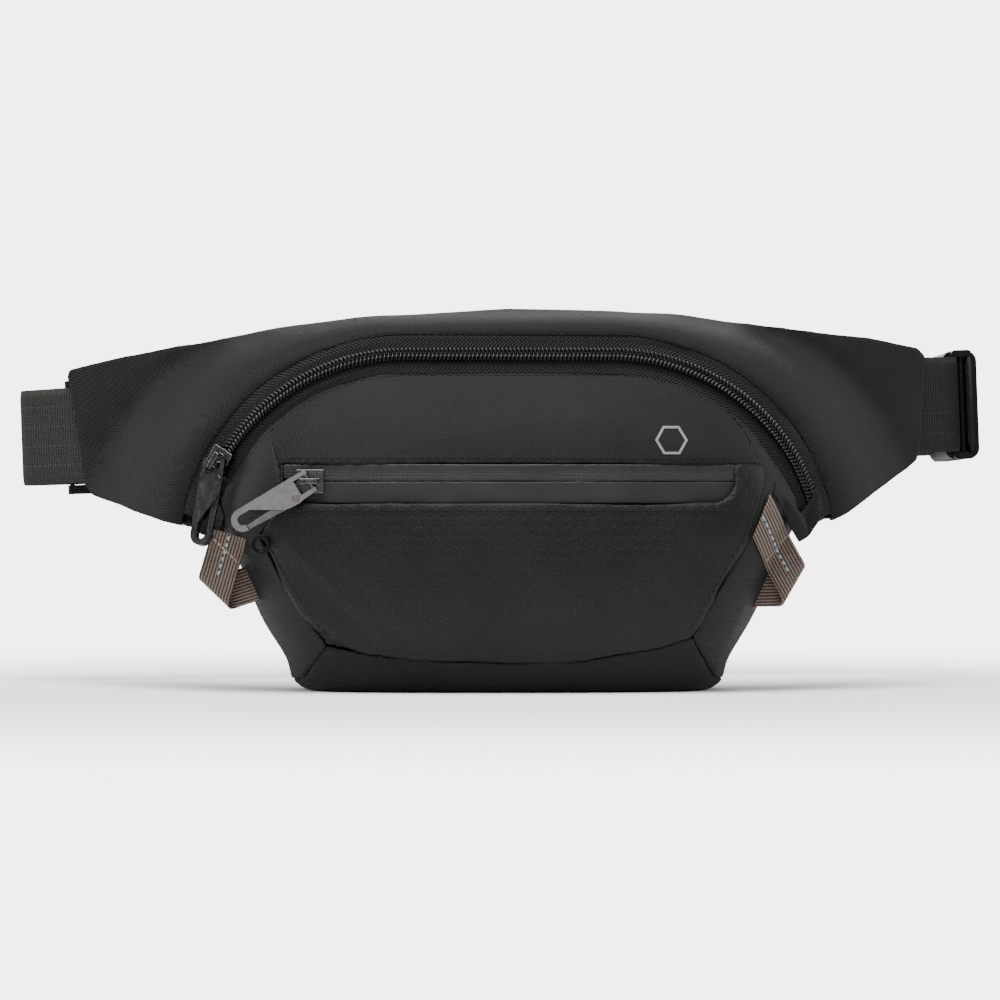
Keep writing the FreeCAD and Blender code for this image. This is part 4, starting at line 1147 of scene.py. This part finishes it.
def folded_sheet(at_fold, lean, fold_slope, front_run, back_run, seam=None):
    """The loop's middle layer row by row, as pairs of a place and the way it faces.

    at_fold is where the centre line meets the fold. seam is a point and an angle: the strip's
    front end is cut along that line."""
    way = down(lean)
    side, out = square_to(way), square_to(down(fold_slope))
    if out.dot(way) < 0:
        out = -out
    sheet = []
    for n in range((LOOP_ROWS + 1) * (LOOP_COLUMNS + 1)):
        i, j = divmod(n, LOOP_COLUMNS + 1)
        v = LOOP_WIDE * (j / LOOP_COLUMNS - 0.5)
        top = -front_run
        if seam:
            cut = square_to(down(seam[1]))
            top = (seam[0] - at_fold - side * v).dot(cut) / way.dot(cut)
        flat = at_fold + way * (top + (back_run - top) * i / LOOP_ROWS) + side * v
        past = (flat - at_fold).dot(out)
        turn = max(0.0, min(math.pi, past / FOLD_RADIUS))
        reach = min(past, 0.0) + FOLD_RADIUS * math.sin(turn) - max(past - FOLD_ARC, 0.0)
        front = LOOP_FRONT_Y
        hit = front_hit(pouch_tree, flat.x, flat.z)[0] if past <= 0 else None
        if hit is not None:
            front = min(front, hit.y - LOOP_LIFT * min(1.0, -past / LIFT_RUN) - LOOP_GAP)
        place = flat + out * (reach - past)
        place.y = front + FOLD_RADIUS * (1 - math.cos(turn))
        sheet.append((place, out * math.sin(turn) - Vector((0, math.cos(turn), 0))))
    return sheet


print("pouch faces to cast on:", sum(len(p.data.polygons) for p in pouch_panels))

# %% Loop helper
LOOP_THICK, LOOP_EASING = 0.0012, 10


def loop_piece(name, source, at_fold, lean, fold_slope, front_run, back_run, seam=None):
    sheet = folded_sheet(at_fold, lean, fold_slope, front_run, back_run, seam)
    points = [place + facing * (layer * LOOP_THICK / 2)
              for layer in (-1, 1) for place, facing in sheet]
    rows, columns, wide, half = LOOP_ROWS, LOOP_COLUMNS, LOOP_COLUMNS + 1, len(sheet)
    faces = []
    for i in range(rows):
        for a in range(i * wide, i * wide + columns):
            faces.append((a, a + 1, a + wide + 1, a + wide))
            faces.append((half + a, half + a + wide, half + a + wide + 1, half + a + 1))
    rim = [*range(columns), *(i * wide + columns for i in range(rows)),
           *(rows * wide + j for j in range(columns, 0, -1)),
           *(i * wide for i in range(rows, 0, -1))]
    for a, b in zip(rim, rim[1:] + rim[:1]):
        faces.append((a, b, half + b, half + a))

    def map_of(number):
        i, j = divmod(number % half, wide)
        return (front_run + back_run) * i / rows, LOOP_WIDE * (j / columns - 0.5)

    piece = strip_piece(name, points, faces, map_of, loop_finish, "loop_webbing")
    ease = piece.modifiers.new("ease", "SMOOTH")
    ease.use_x = ease.use_z = False
    ease.iterations = LOOP_EASING
    apply_modifiers(piece)
    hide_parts(source)
    return piece


print("webbing thickness in mm:", LOOP_THICK / MM)

# %% Loops
LEFT_FOLD, LEFT_LEAN, LEFT_SLOPE = Vector((-0.1108, 0, 0.0412)), -16.0, 46.0
RIGHT_FOLD, RIGHT_LEAN, RIGHT_SLOPE = Vector((0.1064, 0, 0.0440)), 29.0, -30.0
RIGHT_SEAM = (Vector((0.0942, 0, 0.0670)), -23.0)
left_loop = loop_piece("brown_loop_left", "webbing_loop_left", LEFT_FOLD, LEFT_LEAN, LEFT_SLOPE,
                       0.019, 0.024)
right_loop = loop_piece("brown_loop_right", "webbing_loop_right", RIGHT_FOLD, RIGHT_LEAN,
                        RIGHT_SLOPE, 0.027, 0.022, RIGHT_SEAM)
print("loops made")

# %% [markdown]
# ## Stitches
# A stitch is a short plump dash of thread that sinks into the cloth at both ends. Each row is a
# line drawn in front of the pouch and dropped back onto the cloth, so the stitches follow every
# fold that the panels have been given.

# %% Stitch helper
def row_points(corners, pitch):
    """Points every pitch metres along a line of (x, z) corners."""
    places, left = [], 0.0
    for (x0, z0), (x1, z1) in zip(corners, corners[1:]):
        run = math.hypot(x1 - x0, z1 - z0)
        at = left
        while at < run:
            share = at / run
            places.append((x0 + (x1 - x0) * share, z0 + (z1 - z0) * share))
            at += pitch
        left = at - run
    return places


def stitch_row(name, tree, corners, slot, finish, pitch, share, radius):
    """Thread dashes along a line, lying on the cloth under it."""
    places = row_points(corners, pitch)
    frames = []
    for (x0, z0), (x1, z1) in zip(places, places[1:]):
        first, normal = front_hit(tree, x0, z0)
        last = front_hit(tree, x0 + (x1 - x0) * share, z0 + (z1 - z0) * share)[0]
        if first is None or last is None or (last - first).length > 2.5 * pitch:
            continue
        along = (last - first) / 2
        out = -normal if normal.y > 0 else normal
        side = along.cross(out).normalized() * radius * 1.3
        frames.append(((first + last) / 2 + out * radius * 0.3, along, side, out * radius))
    merged_copies(name, bead_shape(5, 6), frames, finish, slot)


print("stitch helper ready")

# %% Lines to sew along
ARCH_POINTS, TACK_REACH = 60, 0.0085


def arch_line(radius_change, first, last):
    """(x, z) points beside the main zip, from one angle to another."""
    radius = ARCH_RADIUS + radius_change
    line = []
    for i in range(ARCH_POINTS):
        angle = math.radians(first + (last - first) * i / (ARCH_POINTS - 1))
        middle = ARCH_HALF_FLAT if angle < math.pi / 2 else -ARCH_HALF_FLAT
        place = ARCH_CENTRE + Vector((middle + radius * math.cos(angle), 0, 0))
        place += UP_ARCH * radius * math.sin(angle)
        line.append((place.x, place.z))
    return line


def loop_line(at_fold, lean, height):
    """A line along a loop, from a height down almost to its fold."""
    return [(p.x, p.z) for p in (at_fold - down(lean) * d for d in (height, 0.0004))]


def cross_line(at_fold, lean, slope, height):
    """A line across a loop at a height above its fold."""
    middle, reach = at_fold - down(lean) * height, down(slope) * TACK_REACH
    return [(p.x, p.z) for p in (middle - reach, middle + reach)]


print("line helpers ready")

# %% Stitch rows
SEAM_SEWING = (black_thread, 0.003, 0.72, 0.00021)  # thread, pitch, share of it sewn, radius
FOLD_Z, UNDER_POCKET_Z = 0.0855, 0.0705
wing_tree, left_tree, right_tree = (surface_tree([p]) for p in (wings, left_loop, right_loop))
for name, tree, corners, slot in (
        ("arch_stitches_outer", wing_tree, arch_line(0.0082, 166, 14), "wing_twill"),
        ("arch_stitches_inner", pouch_tree, arch_line(-0.0080, 150, 28), "front_twill"),
        ("fold_stitches", pouch_tree, [(-0.083, FOLD_Z + 0.0022), (0.088, FOLD_Z + 0.0022)],
         "front_twill"),
        ("pocket_stitches", pouch_tree,
         [(-0.083, UNDER_POCKET_Z - 0.0024), (0.080, UNDER_POCKET_Z - 0.0024)], "front_ripstop"),
        ("left_seam_stitches", pouch_tree,
         [(-0.0925, 0.0590), (-0.0840, 0.0425), (-0.0758, 0.0298), (-0.0680, 0.0200)],
         "front_ripstop"),
        ("right_seam_stitches", pouch_tree,
         [(0.0930, 0.0740), (0.0874, 0.0583), (0.0760, 0.0383), (0.0668, 0.0225)],
         "front_ripstop")):
    stitch_row(name, tree, corners, slot, *SEAM_SEWING)
for name, tree, corners, sewing in (
        ("left_loop_dashes", left_tree, loop_line(LEFT_FOLD, LEFT_LEAN, 0.018),
         (blue_thread, 0.0027, 0.62, 0.0004)),
        ("right_loop_dashes", right_tree, loop_line(RIGHT_FOLD, RIGHT_LEAN, 0.025),
         (blue_thread, 0.0027, 0.66, 0.0004)),
        ("left_loop_tack", left_tree, cross_line(LEFT_FOLD, LEFT_LEAN, 46, 0.0125),
         (tan_thread, 0.0022, 0.85, 0.0003)),
        ("right_loop_tack", right_tree, cross_line(RIGHT_FOLD, RIGHT_LEAN, -42, 0.0115),
         (tan_thread, 0.0022, 0.85, 0.0003))):
    stitch_row(name, tree, corners, "loop_webbing", *sewing)
print("stitch rows made")

# %% [markdown]
# ## Reflective print
# One small hexagon outline is printed in grey on the upper front. It is a thin ring of faces
# that sits a hair above the cloth, so it keeps a crisp edge at any distance.

# %% Print
print_finish = moulded("print_grey", (0.13, 0.13, 0.13), 0.45, 0.000004, 0.4)
PRINT_CENTRE, PRINT_RADIUS, PRINT_LINE = Vector((0.0600, 0.0945)), 0.0062, 0.0011
PRINT_OVER, PRINT_UNDER = 0.0003, 0.0002
SIDES, SLICES = 6, 8
corners = [Vector((math.cos(math.radians(60 * k)), math.sin(math.radians(60 * k))))
           for k in range(SIDES + 1)]
places, faces = [], []
for k in range(SIDES * SLICES):
    side, part = divmod(k, SLICES)
    for radius in (PRINT_RADIUS, PRINT_RADIUS - PRINT_LINE):
        x, z = PRINT_CENTRE + corners[side].lerp(corners[side + 1], part / SLICES) * radius
        y = front_hit(pouch_tree, x, z)[0].y
        places += [(x, y - PRINT_OVER, z), (x, y + PRINT_UNDER, z)]
    a, b = 4 * k, 4 * ((k + 1) % (SIDES * SLICES))
    faces += [(a + p, a + q, b + q, b + p) for p, q in ((0, 2), (2, 3), (3, 1), (1, 0))]
hexagon_print = add_piece("hexagon_print", new_mesh("hexagon_print", places, faces),
                          print_finish, "front_twill")
fix_normals(hexagon_print)
shade(hexagon_print, smooth=False)
print("print points:", len(places))

# %% [markdown]
# ## Metal and plastic pieces
# The frame's metal and plastic pieces already have the right shape, but their edges are knife
# sharp, and a real casting's are not. Each one is copied, its flat faces are cleaned up, and a
# small bevel is cut on every edge, which is what catches the light.

# %% Bevel helper
BEVEL_SEGMENTS, FLAT_WITHIN, SHARP_FROM = 3, math.radians(1.5), math.radians(38)


def hard_copy(source, body, finish, slot, bevel):
    piece = add_piece(f"{source}_finished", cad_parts[source].data.copy(), finish, slot, body)

    def clean(shape):
        bmesh.ops.remove_doubles(shape, verts=shape.verts, dist=MERGE)
        bmesh.ops.dissolve_limit(shape, angle_limit=FLAT_WITHIN, verts=shape.verts,
                                 edges=shape.edges)

    reshape(piece.data, clean)
    edge = piece.modifiers.new("edge", "BEVEL")
    edge.width = bevel
    edge.segments = BEVEL_SEGMENTS
    edge.limit_method = "ANGLE"
    edge.angle_limit = SHARP_FROM
    apply_modifiers(piece)
    shade(piece)
    even = piece.modifiers.new("even", "WEIGHTED_NORMAL")
    even.keep_sharp = True
    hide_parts(source)


print("bevel segments:", BEVEL_SEGMENTS)

# %% Hard pieces
ZIP, GATE = (plate_metal, "zip_metal"), (gate_metal, "gate_metal")
BUCKLE = (buckle_plastic, "buckle_plastic")
HARD = {
    "main_zip_slider": ("main_slider", *ZIP, 0.00022),
    "main_zip_pull": ("main_pull", *ZIP, 0.0005),
    "main_pull_pin": ("main_pull", *GATE, 0.00012),
    "main_pull_gate": ("main_gate", *GATE, 0.0002),
    "pocket_zip_slider": ("pocket_slider", *ZIP, 0.00022),
    "pocket_zip_pull": ("pocket_pull", *ZIP, 0.0005),
    "pocket_pull_pin": ("pocket_pull", *GATE, 0.00012),
    "pocket_pull_gate": ("pocket_gate", *GATE, 0.0002),
    "main_zip_stop": ("bag", coil_nylon, "zip_metal", 0.0002),
    "buckle_female": ("bag", *BUCKLE, 0.0006),
    "buckle_male": ("bag", *BUCKLE, 0.0005),
    "buckle_prong_upper": ("prong_upper", *BUCKLE, 0.0005),
    "buckle_prong_lower": ("prong_lower", *BUCKLE, 0.0005),
    "tri_glide": ("tri_glide", *BUCKLE, 0.0004),
}
for source, recipe in HARD.items():
    hard_copy(source, *recipe)
for source, finish in (("lock_loop", ring_rubber), ("pocket_zip_coil_upper", coil_nylon),
                       ("pocket_zip_coil_lower", coil_nylon)):
    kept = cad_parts[source]
    kept.data.materials.clear()
    kept.data.materials.append(finish.material)
print("hard pieces:", len(HARD))
